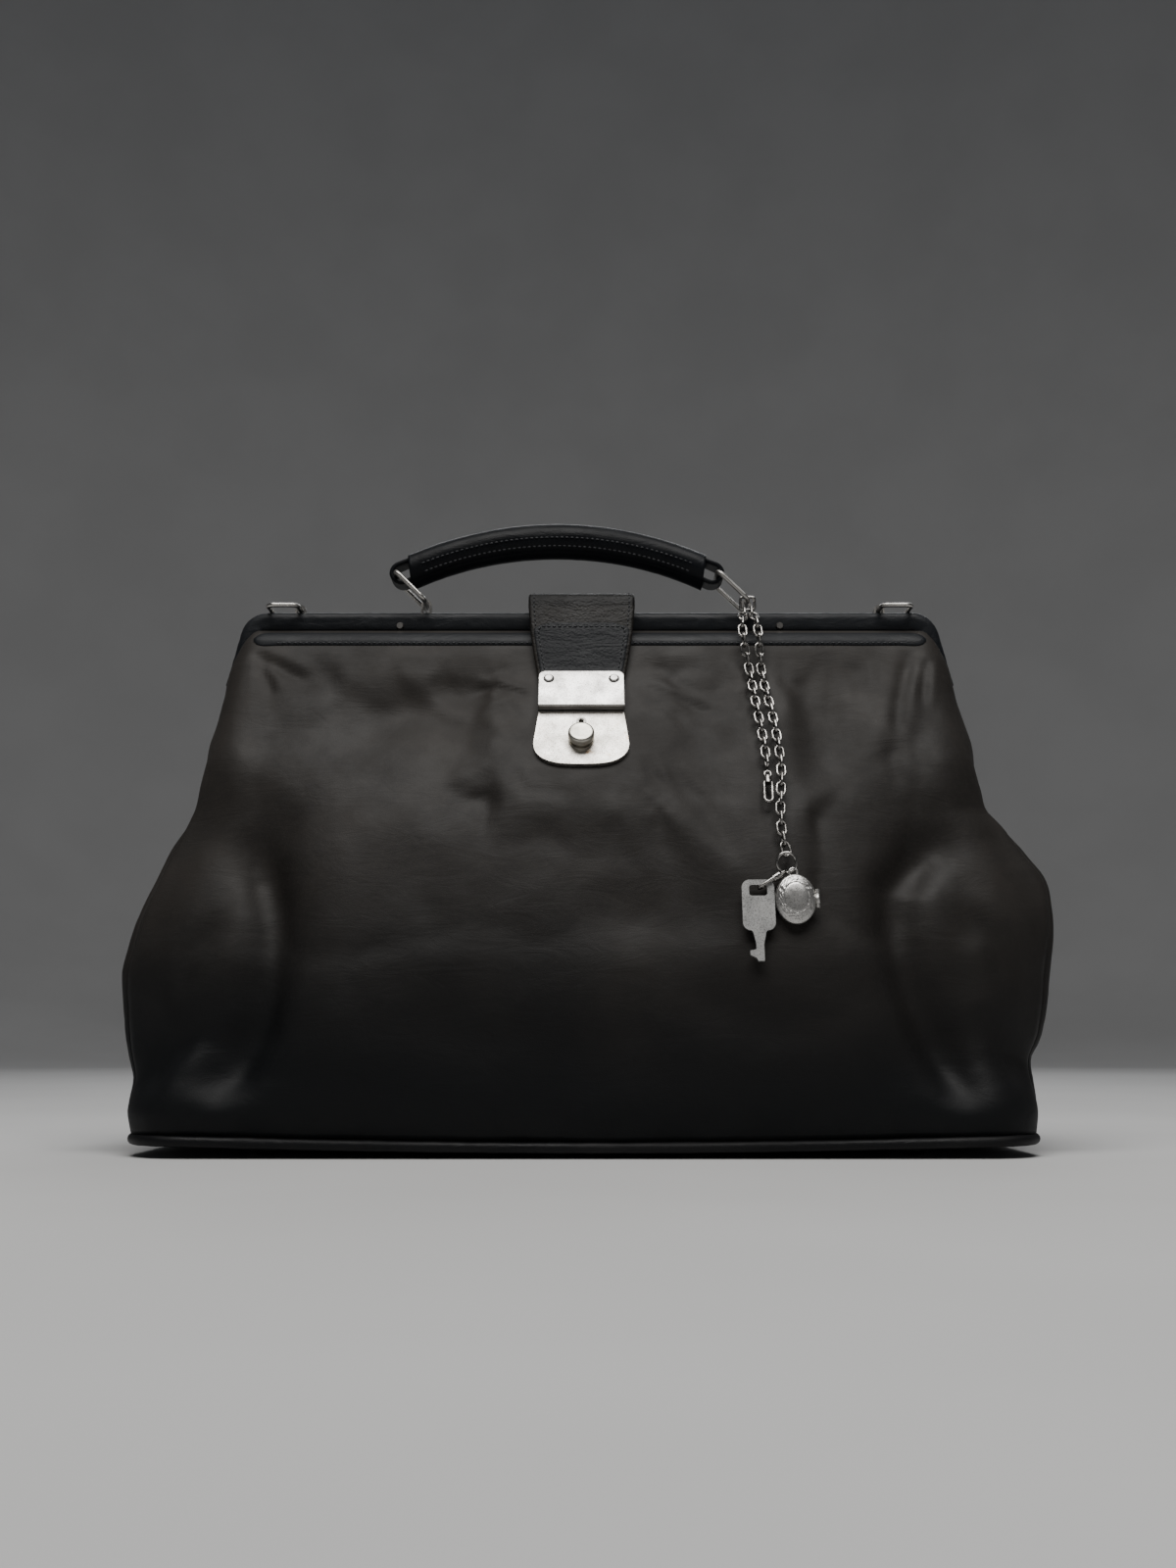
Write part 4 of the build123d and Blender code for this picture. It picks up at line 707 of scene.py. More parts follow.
def panel(columns, rows, name, replaces, rides=None):
    """One panel of the body: its outer face rolls in a little along its side seams."""
    seam_depth, seam_width = 1.1, 2.2
    take = np.arange(*columns) % COLS
    outer = body[:rows][:, take]
    gaps = np.linalg.norm(np.diff(outer, axis=1), axis=2)
    run = np.concatenate([np.zeros((len(outer), 1)), np.cumsum(gaps, axis=1)], axis=1)
    edge = np.minimum(run, run[:, -1:] - run)
    roll = seam_depth * np.exp(-((edge / seam_width) ** 2))
    outer = outer - normals[:rows][:, take] * roll[..., None]
    inner = outer - smooth_normals[:rows][:, take] * LEATHER
    verts, faces, kind = shell_mesh(outer * MM, inner * MM)
    return new_object(name, verts, faces, [BODY_LEATHER, SUEDE], rides, replaces, kind)


row_z = body[..., 2].mean(axis=1)
gusset_rows = int(np.searchsorted(row_z, GUSSET_TOP + 0.1))
panel((0, front_last + 1), len(body), "front_leather", ["front_panel"], "bag")
panel((front_last, right_last + 1), gusset_rows, "right_gusset_leather", ["right_gusset"], "bag")
rear_leather = panel((right_last, rear_last + 1), len(body), "rear_leather", ["rear_panel", "rear_yoke"])
panel((rear_last, COLS + 1), gusset_rows, "left_gusset_leather", ["left_gusset"], "bag")
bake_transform(rear_leather)

# The lining: a loose cloth bag a few millimetres inside the leather, clear of the lock's case, with a floor and a
# turned hem.
LINING_GAP, LINING_THICKNESS, LINING_FLOOR, LINING_TOP = 5.2, 0.9, 14.2, 214.5
kept = slice(2, int(np.searchsorted(row_z, LINING_TOP)))
lined = body[kept] - smooth_normals[kept] * LINING_GAP
loose = np.clip((0.8 + 0.8 * noise_at(lined, 0.03, 5.0, 3)) * smoothstep(16, 40, lined[..., 2]), 0, 3)
by_lock = patch(lined[..., 0], lined[..., 2], LOCK_X, (20, 34), (172, 186)) * (lined[..., 1] < 0)
lined = (lined - smooth_normals[kept] * (loose + 11.0 * by_lock)[..., None])[:, ::2]
inside = lined - normals[kept][:, ::2] * LINING_THICKNESS
floor_rings = np.array([lined[0] * (s, s, 0) + (0, 0, LINING_FLOOR + 0.5 * s)
                        for s in (0.0, 0.3, 0.6, 0.85, 0.96, 1.0)])
lining_grid = np.concatenate([floor_rings - (0, 0, 0.8), lined[1:], [(lined[-1] + inside[-1]) / 2 + (0, 0, 0.9)],
                              inside[:0:-1], floor_rings[::-1]])
new_object("lining_bag", lining_grid.reshape(-1, 3) * MM, grid_faces(*lining_grid.shape[:2], closed=True),
           [LINING], "bag", ["lining"])
hem, hem_out = (np.concatenate([row, row[:1]]) for row in (inside[-4], normals[kept.stop - 4][::2]))
stitches("lining_stitches", [stitch_row(hem, -hem_out, radius=0.3)], "bag")

# ---------------------------------------------------------------- base


def rounded_rectangle(half_x, half_y, radius, step):
    """The closed outline of a rounded rectangle, an even step apart."""
    corners = rounded_section(2 * half_x, 2 * half_y, radius, 13, 1)
    corners = np.column_stack([corners, np.zeros(len(corners))])
    return even_path(np.concatenate([corners, corners[:1]]), step)[:-1]


def base_ends(points):
    """The base's outline drawn out at its left end, as the leather pulls it."""
    points = points.copy()
    points[..., 0] -= 7.5 * smoothstep(110, 217, -points[..., 0]) - 1.5 * smoothstep(110, 217, points[..., 0])
    return points


WELT_Z, WELT_RADIUS, BASE_Z = 8.3, 2.65, 6.15
welt_line = base_ends(rounded_rectangle(216.4, 89.4, 28.2, 3.0))
welt_line[:, 2] = WELT_Z - base_sag(welt_line[:, 0])
tangent = unit(np.roll(welt_line, -1, 0) - np.roll(welt_line, 1, 0))
out = unit(np.cross(tangent, (0, 0, 1.0)))
up = np.cross(out, tangent)
radii = (WELT_RADIUS + 0.16 * noise_at(welt_line, 0.12, 2.0, 2))[:, None, None]
angles = np.linspace(0, math.tau, 15)[:-1][None, :, None]
swept("base_piping", welt_line[:, None] + radii * (np.cos(angles) * out[:, None] + np.sin(angles) * up[:, None]),
      BASE_LEATHER, "bag", ["base_welt"], closed=True)

# The base's leather, from its edge under the board to the middle, and back over the top: scale and height of each ring.
outline = base_ends(rounded_rectangle(214.8, 87.8, 26.6, 5.0))
base_grid = []
for scale, height in ((1.0, 2.4), (0.997, 0.8), (0.985, 0.1), (0.9, 0.0), (0.6, -0.2), (0.3, -0.3), (0.0, -0.3),
                      (0.0, 2.2), (0.6, 2.2), (0.97, 2.3)):
    ring = outline * (scale, scale, 0)
    ring[:, 2] = BASE_Z + height - base_sag(ring[:, 0]) * (0.35 + 0.65 * scale)
    base_grid.append(ring)
base_grid = np.array(base_grid)
base_grid[1:6, :, 2] -= np.abs(noise_at(base_grid[1:6], 0.02, 9.0, 2)) * 0.4
new_object("base_leather_panel", base_grid.reshape(-1, 3) * MM, turned(grid_faces(*base_grid.shape[:2], closed=True)),
           [BASE_LEATHER], "bag", ["base_panel"])

# ---------------------------------------------------------------- frame covers and strips
RAIL_HALF, RAIL_Z, LEG_LEAN, COVER_FOOT, HALF_Y = 185.5, 283.5, 0.25, 247.0, 6.5


def frame_path(y, foot):
    """The middle of a frame half's bar: up one leg, along the rail and down the other leg."""
    leg = RAIL_HALF + LEG_LEAN * (RAIL_Z - foot)
    return fillet_path([(-leg, y, foot), (-RAIL_HALF, y, RAIL_Z), (RAIL_HALF, y, RAIL_Z), (leg, y, foot)], 9.5, 1.6)


STRIP_HALF, STRIP_ROUND, STRIP_MID_Z, STRIP_TOP_Z, STITCH_Z = 184.0, 176.0, -4.4, 276.5, 269.2
# The strip's section: height below its top, and height off the leather.
strip_profile = [(-8.6, 0.05), (-8.6, 0.40), (-8.1, 0.80), (-7.3, 0.95), (-6.2, 1.40), (-4.6, 1.80), (-2.8, 1.90),
                 (-1.2, 1.70), (-0.3, 1.1), (-0.2, 0.15)]
for name, sign, rider in (("front", -1, "bag"), ("rear", 1, "rear_half")):
    path = frame_path(sign * HALF_Y, COVER_FOOT)
    side, up = path_frames(path, (0, 1, 0))
    a, b = rounded_section(12.0, 13.0, 4.4, 5, 3).T[:, :, None]
    rings = []
    bend = np.exp(-(((np.abs(path[:, 0]) - 186) / 8) ** 2)) * smoothstep(262, 280, path[:, 2])
    for i, p in enumerate(path):
        point = p + a * side[i] + b * up[i]
        ripple = 0.5 * math.sin(i * 1.55) * np.clip(-b[:, 0] / 6.5, 0, 1) * bend[i]
        rough = 0.16 * noise_at(point, 0.16, 4.0 + sign, 2) + 0.12 * noise_at(point * (0.5, 1, 1), 0.5, 8.0, 2)
        rings.append(point + unit(point - p) * (np.clip(rough, -0.3, 0.22) + ripple)[:, None])
    rings = [shrunk(rings[0], 0.75) - (0, 0, 0.3), shrunk(rings[0], 0.94), *rings,
             shrunk(rings[-1], 0.94), shrunk(rings[-1], 0.75) - (0, 0, 0.3)]
    swept(f"{name}_frame_leather", rings, FRAME_LEATHER, rider, [f"{name}_frame_cover"])

    # The smooth strip under the rail, with rounded ends, stitched along its lower edge.
    xs = np.linspace(-STRIP_HALF, STRIP_HALF, 180)
    drop = 0.8 * smoothstep(160, STRIP_HALF, np.abs(xs)) ** 2
    rings = []
    for x, lower in zip(xs, drop):
        wave = 0.25 * noise.noise(Vector((x * 0.03, sign, 0.0)))
        rounding = math.sqrt(max(0.0, 1 - (max(0.0, abs(x) - STRIP_ROUND) / 8.1) ** 2))
        ring = []
        for z, off in strip_profile:
            z, off = STRIP_MID_Z + (z - STRIP_MID_Z) * rounding, off * (0.3 + 0.7 * rounding)
            height = STRIP_TOP_Z + z + (wave - lower) * (-z / 8.0)
            wall = 21 + (15 - 21) * (height - 270) / 8 if height > 270 else 21 + (270 - height) * 0.45
            ring.append((x, sign * (wall + 0.1 + off), height))
        rings.append(ring[::-sign])
    swept(f"{name}_strip_leather", rings, FRAME_LEATHER, rider, [f"{name}_strip"])
    line = [(x, sign * (21 + (0.8 + lower) * 0.45 + 1.12), STITCH_Z - lower) for x, lower in zip(xs, drop)][6:-6]
    stitches(f"{name}_strip_stitches", [stitch_row(line, (0, sign, 0.2))], rider)

# ---------------------------------------------------------------- handle
RING_TOP_Z, HANDLE_X, RING_Y = 310.763, -18.263, -7.0
SLOPE = math.radians(24)
GRIP_HALF = 89 - 10.5 * math.cos(SLOPE)
GRIP_END_Z = RING_TOP_Z + 10.5 * math.sin(SLOPE)
GRIP_TOP_Z = GRIP_END_Z + GRIP_HALF * math.tan(SLOPE / 2)
rise = GRIP_TOP_Z - GRIP_END_Z
arc_radius = (GRIP_HALF**2 + rise**2) / (2 * rise)
sweep_angle = math.asin(GRIP_HALF / arc_radius)


def grip_point(t, off=0.0):
    """A point of the handle's arch, t from -1 to 1, moved outwards by off."""
    a = t * sweep_angle
    r = arc_radius + off
    return np.array((HANDLE_X + r * math.sin(a), RING_Y, GRIP_TOP_Z - arc_radius + r * math.cos(a)))


def grip_radius_at(t, a):
    """The rolled sleeve's radius: round above, with a step below its stitched edge and a low keel underneath."""
    cosine, sine = math.cos(a), math.sin(a)
    radius = 9.35 + 0.35 * math.exp(-((t / 0.6) ** 2))
    if sine < 0:
        radius += 0.9 * math.exp(-((cosine / 0.22) ** 2)) - 0.8 * math.exp(-(((abs(cosine) - 0.42) / 0.14) ** 2))
    radius -= 0.35 * math.exp(-(((sine + 0.30) / 0.05) ** 2))
    return radius + 0.10 * noise.noise(Vector((t * 18, cosine * 2, sine * 2)))


ts = np.linspace(-1.035, 1.035, 132)
grip_rings = []
for t in ts:
    centre = grip_point(t)
    out = unit(grip_point(t, 1.0) - centre)
    along = np.array((out[2], 0, -out[0]))
    ring = []
    for a in np.linspace(0, math.tau, 33)[:-1]:
        cosine, sine = math.cos(a), math.sin(a)
        point = centre + (out * sine + np.array((0, cosine, 0))) * grip_radius_at(t, a)
        slant = 2.8 * sine * smoothstep(0.93, 1.03, abs(t)) * math.copysign(1, t)
        ring.append(point - along * float(slant))
    grip_rings.append(np.array(ring))
first, last = grip_rings[0], grip_rings[-1]
into_first, into_last = grip_rings[6].mean(0) - first.mean(0), grip_rings[-7].mean(0) - last.mean(0)
rings = [shrunk(first, 0.74) + into_first, shrunk(first, 0.74), shrunk(first, 0.93), *grip_rings,
         shrunk(last, 0.93), shrunk(last, 0.74), shrunk(last, 0.74) + into_last]
swept("handle_grip", rings, HANDLE_LEATHER, "handle", ["handle_cover"])

rows = []
for degrees in (184, 212, -4, -32):
    a = math.radians(degrees)
    line, outward = [], []
    for t in np.linspace(-0.95, 0.95, 90):
        centre = grip_point(t)
        radial = unit(grip_point(t, 1.0) - centre) * math.sin(a) + np.array((0, math.cos(a), 0))
        line.append(centre + radial * grip_radius_at(t, a))
        outward.append(radial)
    rows.append(stitch_row(line, outward, length=1.9, pitch=2.8, radius=0.40, sink=0.05))
stitches("handle_stitches", rows, "handle")

# The loops that go round the rings' upper bars and into the sleeve's ends.
LOOP_RADIUS, LOOP_LENGTH, LOOP_WIDTH, LOOP_THICKNESS = 5.4, 13.0, 14.0, 2.4
for name, s in (("left", -1), ("right", 1)):
    bar = np.array((-2.0 + s * 89 - 16.263, RING_Y, RING_TOP_Z))
    inward = np.array((-s * math.cos(SLOPE), 0, math.sin(SLOPE)))
    across = np.array((math.sin(SLOPE) * s, 0, math.cos(SLOPE))) * LOOP_RADIUS
    eye = bar + inward * (4.2 - 1.3 - 0.15)
    line = [eye + inward * d + across for d in np.linspace(LOOP_LENGTH, 0, 12)]
    line += [eye - inward * LOOP_RADIUS * math.sin(a) + across * math.cos(a) for a in np.linspace(0, math.pi, 19)[1:-1]]
    line += [eye + inward * d - across for d in np.linspace(0, LOOP_LENGTH, 12)]
    line = np.array(line)
    side, up = path_frames(line, (0, 1, 0))
    rings = []
    for i, p in enumerate(line):
        width = LOOP_WIDTH - 3.2 * abs(2 * i / (len(line) - 1) - 1) ** 3
        section = rounded_section(width, LOOP_THICKNESS, 0.9, 3, 5)
        wave = 0.12 * noise_at(p[None] + section[:, :1] * (0, 1, 0), 0.3, s * 2.0, 2)
        rings.append(p + section[:, :1] * side[i] + (section[:, 1] + wave)[:, None] * up[i])
    swept(f"handle_loop_leather_{name}", rings, HANDLE_LEATHER, "handle", [f"handle_loop_{name}"])

# ---------------------------------------------------------------- closing strap
LEAN = math.atan2(39, 70)
LOCK_ORIGIN = np.array((LOCK_X, -(69 - 27.5 * math.tan(LEAN)), 207.5))
LOCK_OUT = np.array((0, -math.cos(LEAN), math.sin(LEAN)))
LOCK_UP = np.array((0, math.sin(LEAN), math.cos(LEAN)))
ACROSS = np.array((1.0, 0.0, 0.0))
STRAP_THICKNESS, FACING_THICKNESS = 3.2, 1.25
STRAP_MID, STRAP_END, CREASE_ALONG = 0.9 + 1.6, 22.0, 48.4


def on_lock(x, along, height):
    """A point of the lock's slope: x across, along up the slope, height off it."""
    return LOCK_ORIGIN + (x, 0, 0) + LOCK_UP * along + LOCK_OUT * height


def strap_half(point):
    """Half the strap's width at a height. It narrows towards the hasp and hides under it."""
    return np.interp(point[..., 2], (238, 247, 260, 272, 290), (22.2, 23.4, 25.7, 27.5, 29.2))


def band_up(line, front):
    """The direction off a band's outer face at each point of its line."""
    up = path_frames(line, ACROSS)[1]
    return -up if (np.mean(up[:, 1]) > 0) == front else up


def band_rings(line, up, half, thickness, seed, rough, across=27, groove=0.22, reach=None):
    """Rings of a flat leather band with rounded edges, and a groove along each edge for its stitches."""
    us = np.sin(np.linspace(-math.pi / 2, math.pi / 2, across))
    rings = []
    for i, (p, w) in enumerate(zip(line, half)):
        inside = w - np.abs(us * w)
        top = thickness / 2 * np.sqrt(np.clip(1 - (1 - np.minimum(1.0, inside / 1.5)) ** 2, 0.05, 1))
        grain = [noise.fractal(Vector((u * (reach or w * 0.5), i * 0.45, seed)), 0.7, 2.0, 3,
                               noise_basis="PERLIN_ORIGINAL") * rough for u in us]
        height = top - groove * np.exp(-(((inside - 3.0) / 0.7) ** 2)) + grain
        middle = p + (us * w)[:, None] * ACROSS
        rings.append(np.concatenate([middle + height[:, None] * up[i], (middle - top[:, None] * up[i])[-2:0:-1]]))
    return rings


def band_piece(name, line, up, half, thickness, material, replaces, seed, rough):
    """A band of the closing strap, with softened ends."""
    rings = band_rings(line, up, half, thickness, seed, rough)
    caps = []
    for ring, neighbour in ((rings[0], rings[1]), (rings[-1], rings[-2])):
        inward = (ring.mean(0) - ring) * (0, 1, 1)
        step = (ring - neighbour).mean(0)
        caps.append([ring + inward * 0.25 + step * 0.3, ring + inward * 0.7 + step * 0.45])
    return swept(name, caps[0][::-1] + rings + caps[1], material, "closing_strap", replaces)


crease_at = on_lock(0, CREASE_ALONG, STRAP_MID)
shoulder = np.array((LOCK_X, -17.5, 297.0))
strap_line = fillet_path([(LOCK_X, 11.0, 296.0), (LOCK_X, -3.0, 300.5), shoulder, crease_at,
                          on_lock(0, STRAP_END, STRAP_MID)], 6.5, 1.1)
strap_up = band_up(strap_line, True)
half = strap_half(strap_line)
band_piece("strap_leather", strap_line, strap_up, half, STRAP_THICKNESS, STRAP_LEATHER, ["strap"], 2.0, 0.10)
rows = []
keep = slice(4, len(strap_line) - 3)
for s in (-1, 1):
    line = strap_line[keep] + np.outer(s * (half[keep] - 3.0), ACROSS) + strap_up[keep] * 1.5
    rows.append(stitch_row(line, strap_up[keep], length=2.0, pitch=3.0, radius=0.42, sink=0.0))
stitches("strap_stitches", rows, "closing_strap")

# ---------------------------------------------------------------- metal on the lock's slope, and the chain's end ring


def facing_out(verts, faces):
    """The faces, turned so that they all face out of the solid they close."""
    centred = verts - verts.mean(0)
    volume = sum(np.dot(centred[f[0]], np.cross(centred[f[i]], centred[f[i + 1]])) for f in faces
                 for i in range(1, len(f) - 1))
    return verts, faces if volume > 0 else turned(faces)


def slope_plate(outline, levels):
    """A plate on the lock's slope: an outline of x and along, at heights off the slope with an inset for each."""
    outline = np.array(outline)
    middle = (outline.max(0) + outline.min(0)) / 2
    half = (outline.max(0) - outline.min(0)) / 2
    return facing_out(*sweep_mesh(np.array([
        [on_lock(x, a, height) for x, a in middle + (outline - middle) * (1 - inset / half)]
        for height, inset in levels])))


def wire_loop(path, radius, out, around=10):
    """A closed round wire along a flat loop; out is square to the loop's plane."""
    side = np.cross(unit(np.roll(path, -1, axis=0) - np.roll(path, 1, axis=0)), out)
    angles = np.linspace(0, math.tau, around, endpoint=False)[:, None]
    sections = np.array([p + radius * (np.cos(angles) * out + np.sin(angles) * s) for p, s in zip(path, side)])
    return facing_out(*sweep_mesh(sections, closed=True))


HASP_HALF, HASP_LOW, HASP_TOP, HASP_LIP, HASP_CORNER = 22.7, 20.2, 44.4, 1.7, 3.4
HASP_UNDER, HASP_FACE = 5.525, 7.125
RIVET_X, RIVET_ALONG, SHADE_RING_RADIUS = 17.3, 38.8, 2.5
outline = [(-HASP_HALF, HASP_LOW), (HASP_HALF, HASP_LOW)]
for s, start in ((1, 0.0), (-1, math.pi / 2)):
    for angle in np.linspace(start, start + math.pi / 2, 9):
        outline.append((s * (HASP_HALF - HASP_CORNER) + HASP_CORNER * math.cos(angle),
                        HASP_TOP - HASP_CORNER + HASP_CORNER * math.sin(angle)))
plate = slope_plate(outline, ((HASP_UNDER, 0.0), (HASP_FACE - 0.35, 0.0), (HASP_FACE - 0.1, 0.12), (HASP_FACE, 0.4)))
lip = slope_plate([(-HASP_HALF, HASP_LOW), (HASP_HALF, HASP_LOW), (HASP_HALF, HASP_LOW + HASP_LIP),
                   (-HASP_HALF, HASP_LOW + HASP_LIP)], ((0.5, 0.25), (0.75, 0.0), (HASP_UNDER + 0.2, 0.0)))
# The bent lip under the hasp takes the dark nickel: painted shade on the lip's face.
verts, faces = joined([plate, lip])
new_object("hasp_metal", verts * MM, faces, [LOCK_NICKEL, DARK_NICKEL_AND_SHADE], "closing_strap", ["hasp_plate"],
           face_material=[0] * len(plate[1]) + [1] * len(lip[1]), smooth=False)
circle = np.linspace(0, math.tau, 40, endpoint=False)
# A thin dark ring round each hasp rivet, in the dark leather: painted shade in the crevice at the rivet's edge.
for name, s in (("left", -1), ("right", 1)):
    path = np.array([on_lock(s * RIVET_X + SHADE_RING_RADIUS * math.cos(t), RIVET_ALONG + SHADE_RING_RADIUS * math.sin(t),
                             HASP_FACE + 0.02) for t in circle])
    verts, faces = wire_loop(path, 0.38, LOCK_OUT)
    new_object(f"rivet_shade_ring_{name}", verts * MM, faces, [EDGE], "closing_strap")

# The lock plate, with its lower edge drawn to a wider arc.
plate = nodes["lock_plate"]
verts = np.array([plate.matrix_world @ v.co for v in plate.data.vertices]) / MM
along = (verts - LOCK_ORIGIN) @ LOCK_UP
lift = 2.6 * (np.abs(verts[:, 0] - LOCK_X) / 19) ** 2.2 * (1 - smoothstep(-6, 6, along))
verts = verts + np.outer(lift, LOCK_UP)
new_object("lock_plate_metal", verts * MM, [tuple(f.vertices) for f in plate.data.polygons], [PLATE_NICKEL], "bag",
           ["lock_plate"], smooth=False)

# The open ring that joins the chain's end to the key's clasp and the locket's bail.
path = np.array([(96.0 + 4.7 * math.cos(t), -89.7, 141.0 + 4.9 * math.sin(t)) for t in circle])
verts, faces = wire_loop(path, 0.75, np.array((0.0, -1.0, 0.0)))
new_object("chain_end_ring", verts * MM, faces, [CHAIN_SILVER], "chain")

# ---------------------------------------------------------------- facing and tail
# The facing: a second piece of leather over the strap's end, with an arched top.
FACING_MID = STRAP_MID + 1.6 + 0.1 + 0.6
FRONT_LEAN = math.atan2(shoulder[1] - crease_at[1], shoulder[2] - crease_at[2])
FRONT_OUT = np.array((0, -math.cos(FRONT_LEAN), math.sin(FRONT_LEAN)))
facing_off = FACING_MID - STRAP_MID
facing_crease = on_lock(0, CREASE_ALONG - facing_off * math.tan((LEAN - FRONT_LEAN) / 2), FACING_MID)
facing_top = crease_at + (shoulder - crease_at) * 0.6 + FRONT_OUT * facing_off
line = fillet_path([facing_top, facing_crease, on_lock(0, STRAP_END, FACING_MID)], 5.0, 0.8)
up = band_up(line, True)
arch = np.clip(1 - np.arange(len(line)) * 0.8 / 4.0, 0, 1)
half = (strap_half(line) - 2.0) * (1 - 0.30 * arch**2)
band_piece("facing_leather", line, up, half, FACING_THICKNESS, FACING_LEATHER, ["strap_facing"], 6.0, 0.22)
left, right = (line + up * 0.62 + np.outer(s * (half - 2.3), ACROSS) for s in (-1, 1))
low_end = len(line) - 3
path = np.concatenate([left[low_end:3:-1], np.linspace(left[3], right[3], 24), right[4:low_end]])
outs = np.concatenate([up[low_end:3:-1], np.repeat(up[3:4], 24, axis=0), up[4:low_end]])
stitches("facing_stitches", [stitch_row(path, outs, length=2.0, pitch=2.9, radius=0.38, sink=0.02)], "closing_strap")

# The strap's tail, sewn down over the rear half's cover, strip and yoke.
TAIL_HALF, TAIL_REACH = 29.5, 14.0
tail_y = HALF_Y + 6.0 + 0.6 + 1.6
strip_out = 21 + (268.5 - 270) * -0.75 + 0.2 + 1.6 + 0.6 + 1.6
yoke_y = 69 - (252 - 180) * math.tan(LEAN)
line = fillet_path([(LOCK_X, tail_y + 1.0, 291.3), (LOCK_X, tail_y + 1.2, 283.5), (LOCK_X, strip_out + 0.8, 268.5),
                    (LOCK_X, yoke_y + 1.6 + 0.6 + 1.0, 252.0)], 6.0, 1.1)
up = band_up(line, False)
rings = band_rings(line, up, [TAIL_HALF] * len(line), STRAP_THICKNESS, 9.0, 0.1, across=25, groove=0.0,
                   reach=TAIL_REACH)
verts, faces = sweep_mesh(np.array(rings))
new_object("strap_tail_leather", verts * MM, turned(faces), [STRAP_LEATHER], "rear_half",
           ["strap_tail"])
low_row = np.linspace(line[-3] - (25, 0, 0), line[-3] + (25, 0, 0), 20)
rows = [(line[2:-2] + (s * 26.5, 0, 0) + up[2:-2] * 1.5, up[2:-2]) for s in (-1, 1)]
rows.append((low_row + up[-3] * 1.5, up[-3]))
stitches("strap_tail_stitches", [stitch_row(path, out, radius=0.42, sink=0.0) for path, out in rows], "rear_half")

# ---------------------------------------------------------------- the locket's lid
LID_OUT = np.array((0, -0.98058, 0.19612))
LID_UP = np.array((0, 0.19612, 0.98058))
LID_X, LID_A = 99.4, 9.85
PIN_X, PIN_POINT, KNUCKLE = 110.0, (0, -94.669, 122.814), 1.1
lid_verts = np.array([v.co for v in nodes["locket_lid"].data.vertices]) / MM
lid_base, lid_top = (lid_verts @ LID_OUT).min(), (lid_verts @ LID_OUT).max()
oval_up = lid_verts[np.abs(lid_verts[:, 0] - LID_X) < 9.95] @ LID_UP
lid_mid, LID_B = (oval_up.max() + oval_up.min()) / 2, (oval_up.max() - oval_up.min()) / 2
dome = lid_top - lid_base - 1.0


def lid_point(x, up, out):
    return np.array((x, 0, 0)) + LID_UP * up + LID_OUT * out


def lid_ring(r, height_at):
    """A ring of the oval at the fraction r of its size, as high over the lid's base as height_at says."""
    return [lid_point(LID_X + LID_A * r * math.cos(a), lid_mid + LID_B * r * math.sin(a), lid_base + height_at(r, a))
            for a in np.linspace(0, math.tau, 145)[:-1]]


def engraved(r, a):
    """The height of the lid's face: a dome with two fine lines and a band of scrolls and leaves between them."""
    high = 1.0 + dome * max(0.0, 1 - r**2.4) ** 0.62
    border = math.exp(-(((r - 0.60) / 0.02) ** 2)) * -0.14 + math.exp(-(((r - 0.90) / 0.02) ** 2)) * -0.16
    band_in = float(smoothstep(0.60, 0.66, r) * (1 - smoothstep(0.84, 0.90, r)))
    curl = math.sin(a * 12 + 5.0 * math.sin(r * 9)) * math.cos(r * 24 + 2 * math.sin(a * 6))
    leaves = abs(math.sin(a * 6 + r * 7)) ** 0.5 - 0.6
    carve = band_in * (0.13 * max(-1.0, min(1.0, 3 * curl)) + 0.08 * leaves)
    wear = 0.03 * noise.noise(Vector((r * math.cos(a) * 5, r * math.sin(a) * 5, 1.0)))
    return high + border + carve + wear


# The face, the rim and the hollow back, then the hinge's knuckle and the arm that holds it.
rs = np.concatenate([np.linspace(0.0, 0.90, 46), 0.90 + 0.10 * np.sin(np.linspace(0, math.pi / 2, 12))[1:]])
rings = [lid_ring(r, engraved) for r in rs]
for r, height in ((1.0, 0.4), (0.96, 0.0), (0.90, 0.0), (0.86, 0.75 * min(0.9, dome)), (0.6, 0.45 * dome),
                  (0.3, 0.675 * dome), (0.0, 0.75 * dome)):
    rings.append(lid_ring(r, lambda _, __: height))
rings = np.array(rings)
knuckle_up = lid_verts[lid_verts[:, 0] > 109.2] @ LID_UP
knuckle_ends = (knuckle_up.min(), knuckle_up.max())
pin_out = float(np.array(PIN_POINT) @ LID_OUT)
knuckle = sweep_mesh(np.array([[lid_point(PIN_X + KNUCKLE * math.cos(a), up, pin_out + KNUCKLE * math.sin(a))
                                for a in np.linspace(0, math.tau, 17)[:-1]] for up in knuckle_ends]))
arm_verts, arm_faces = sweep_mesh(np.array([[lid_point(x, up, lid_base + off) for x, off in (
    (107.6, 0.15), (109.6, 0.15), (109.6, 0.95), (107.6, 0.95))] for up in knuckle_ends]))
verts, faces = joined([(rings.reshape(-1, 3), grid_faces(*rings.shape[:2], closed=True)), knuckle,
                       (arm_verts, turned(arm_faces))])
new_object("locket_lid_engraved", verts * MM, faces, [LOCKET_SILVER], "locket_lid", ["locket_lid"])

# ---------------------------------------------------------------- floor, light and camera


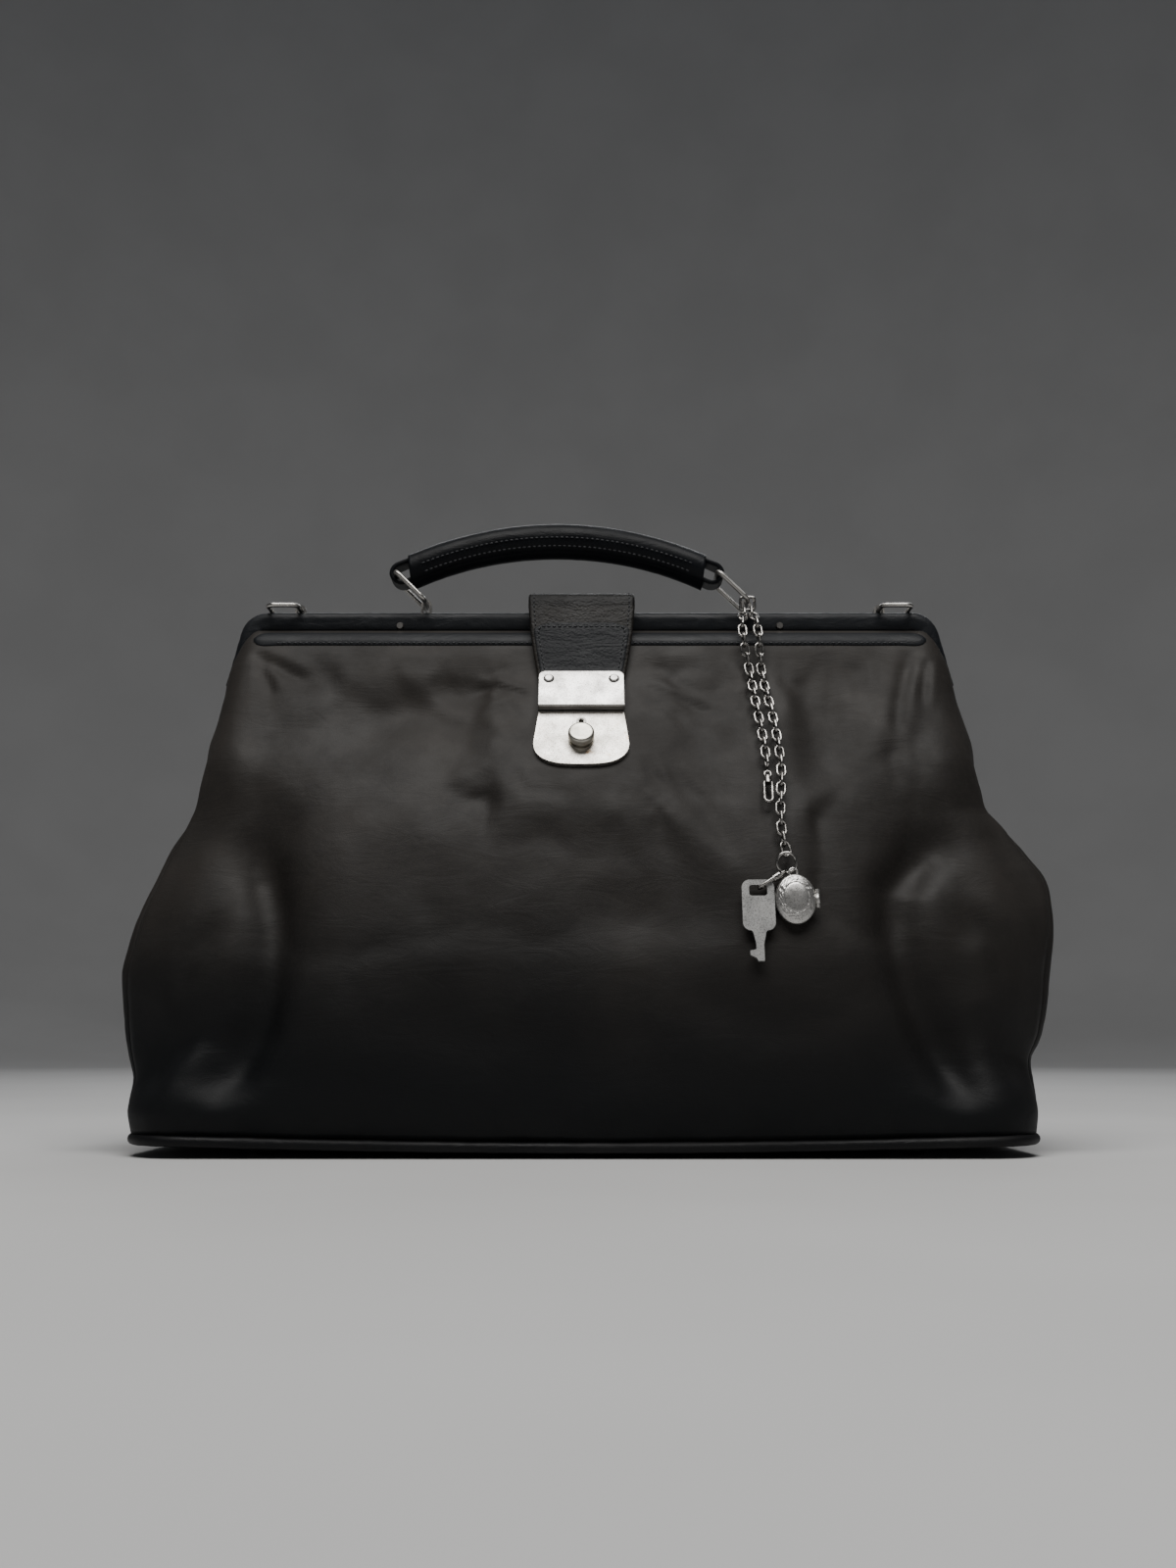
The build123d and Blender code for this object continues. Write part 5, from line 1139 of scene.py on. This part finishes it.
def stage_bowl():
    """A pale floor that curves up all round into a wall, open at the top."""
    profile = [(0.0, 0.0), (0.6, 0.0), (1.5, 0.0), (2.6, 0.0)]
    profile += [(2.6 + 1.6 * math.sin(a), 1.6 - 1.6 * math.cos(a)) for a in np.linspace(0, math.pi / 2, 14)[1:]]
    profile += [(4.2, 3.0), (4.2, 5.0)]
    turns = [math.tau * k / 96 for k in range(96)]
    verts = [(r * math.cos(a), r * math.sin(a), z) for r, z in profile for a in turns]
    mesh = bpy.data.meshes.new("studio_floor")
    mesh.from_pydata(verts, [], grid_faces(len(profile), len(turns), closed=True))
    mesh.polygons.foreach_set("use_smooth", [True] * len(mesh.polygons))
    n = Nodes("studio_paper")
    shade = n.mix(n.ramp(n.noise(3.0, 3.0), 0.3, 0.7), rgb(0.50, 0.50, 0.50), rgb(0.53, 0.53, 0.53))
    n.set(Base_Color=shade, Roughness=0.9)
    mesh.materials.append(n.material)
    obj = bpy.data.objects.new("studio_floor", mesh)
    bpy.context.scene.collection.objects.link(obj)


stage_bowl()


def area_light(name, place, target, size, power, colour):
    """A rectangular light that looks at its target."""
    data = bpy.data.lights.new(name, "AREA")
    data.shape = "RECTANGLE"
    data.size, data.size_y = size
    data.energy = power
    data.color = colour
    obj = bpy.data.objects.new(name, data)
    obj.location = place
    obj.rotation_euler = (Vector(target) - Vector(place)).to_track_quat("-Z", "Y").to_euler()
    bpy.context.scene.collection.objects.link(obj)


area_light("overhead", (0.0, -0.70, 1.8), (0.0, 0.0, 0.16), (1.6, 0.9), 38.0, (1.0, 0.985, 0.96))
area_light("rim_back", (0.2, 1.6, 1.6), (0.0, 0.0, 0.25), (1.8, 0.8), 12.0, (0.96, 0.98, 1.0))

world = bpy.data.worlds.new("studio")
world.use_nodes = True
world.node_tree.nodes["Background"].inputs[0].default_value = (0.78, 0.80, 0.84, 1.0)
world.node_tree.nodes["Background"].inputs[1].default_value = 0.19
bpy.context.scene.world = world

camera_data = bpy.data.cameras.new("camera")
camera_data.lens = 35.0
camera_data.sensor_width = 36.0
camera_data.clip_end = 50.0
camera = bpy.data.objects.new("camera", camera_data)
camera.location = (-0.001, -0.830, 0.056)
camera.rotation_euler = (math.radians(90 + 9.5), 0.0, 0.0)
bpy.context.scene.collection.objects.link(camera)
bpy.context.scene.camera = camera
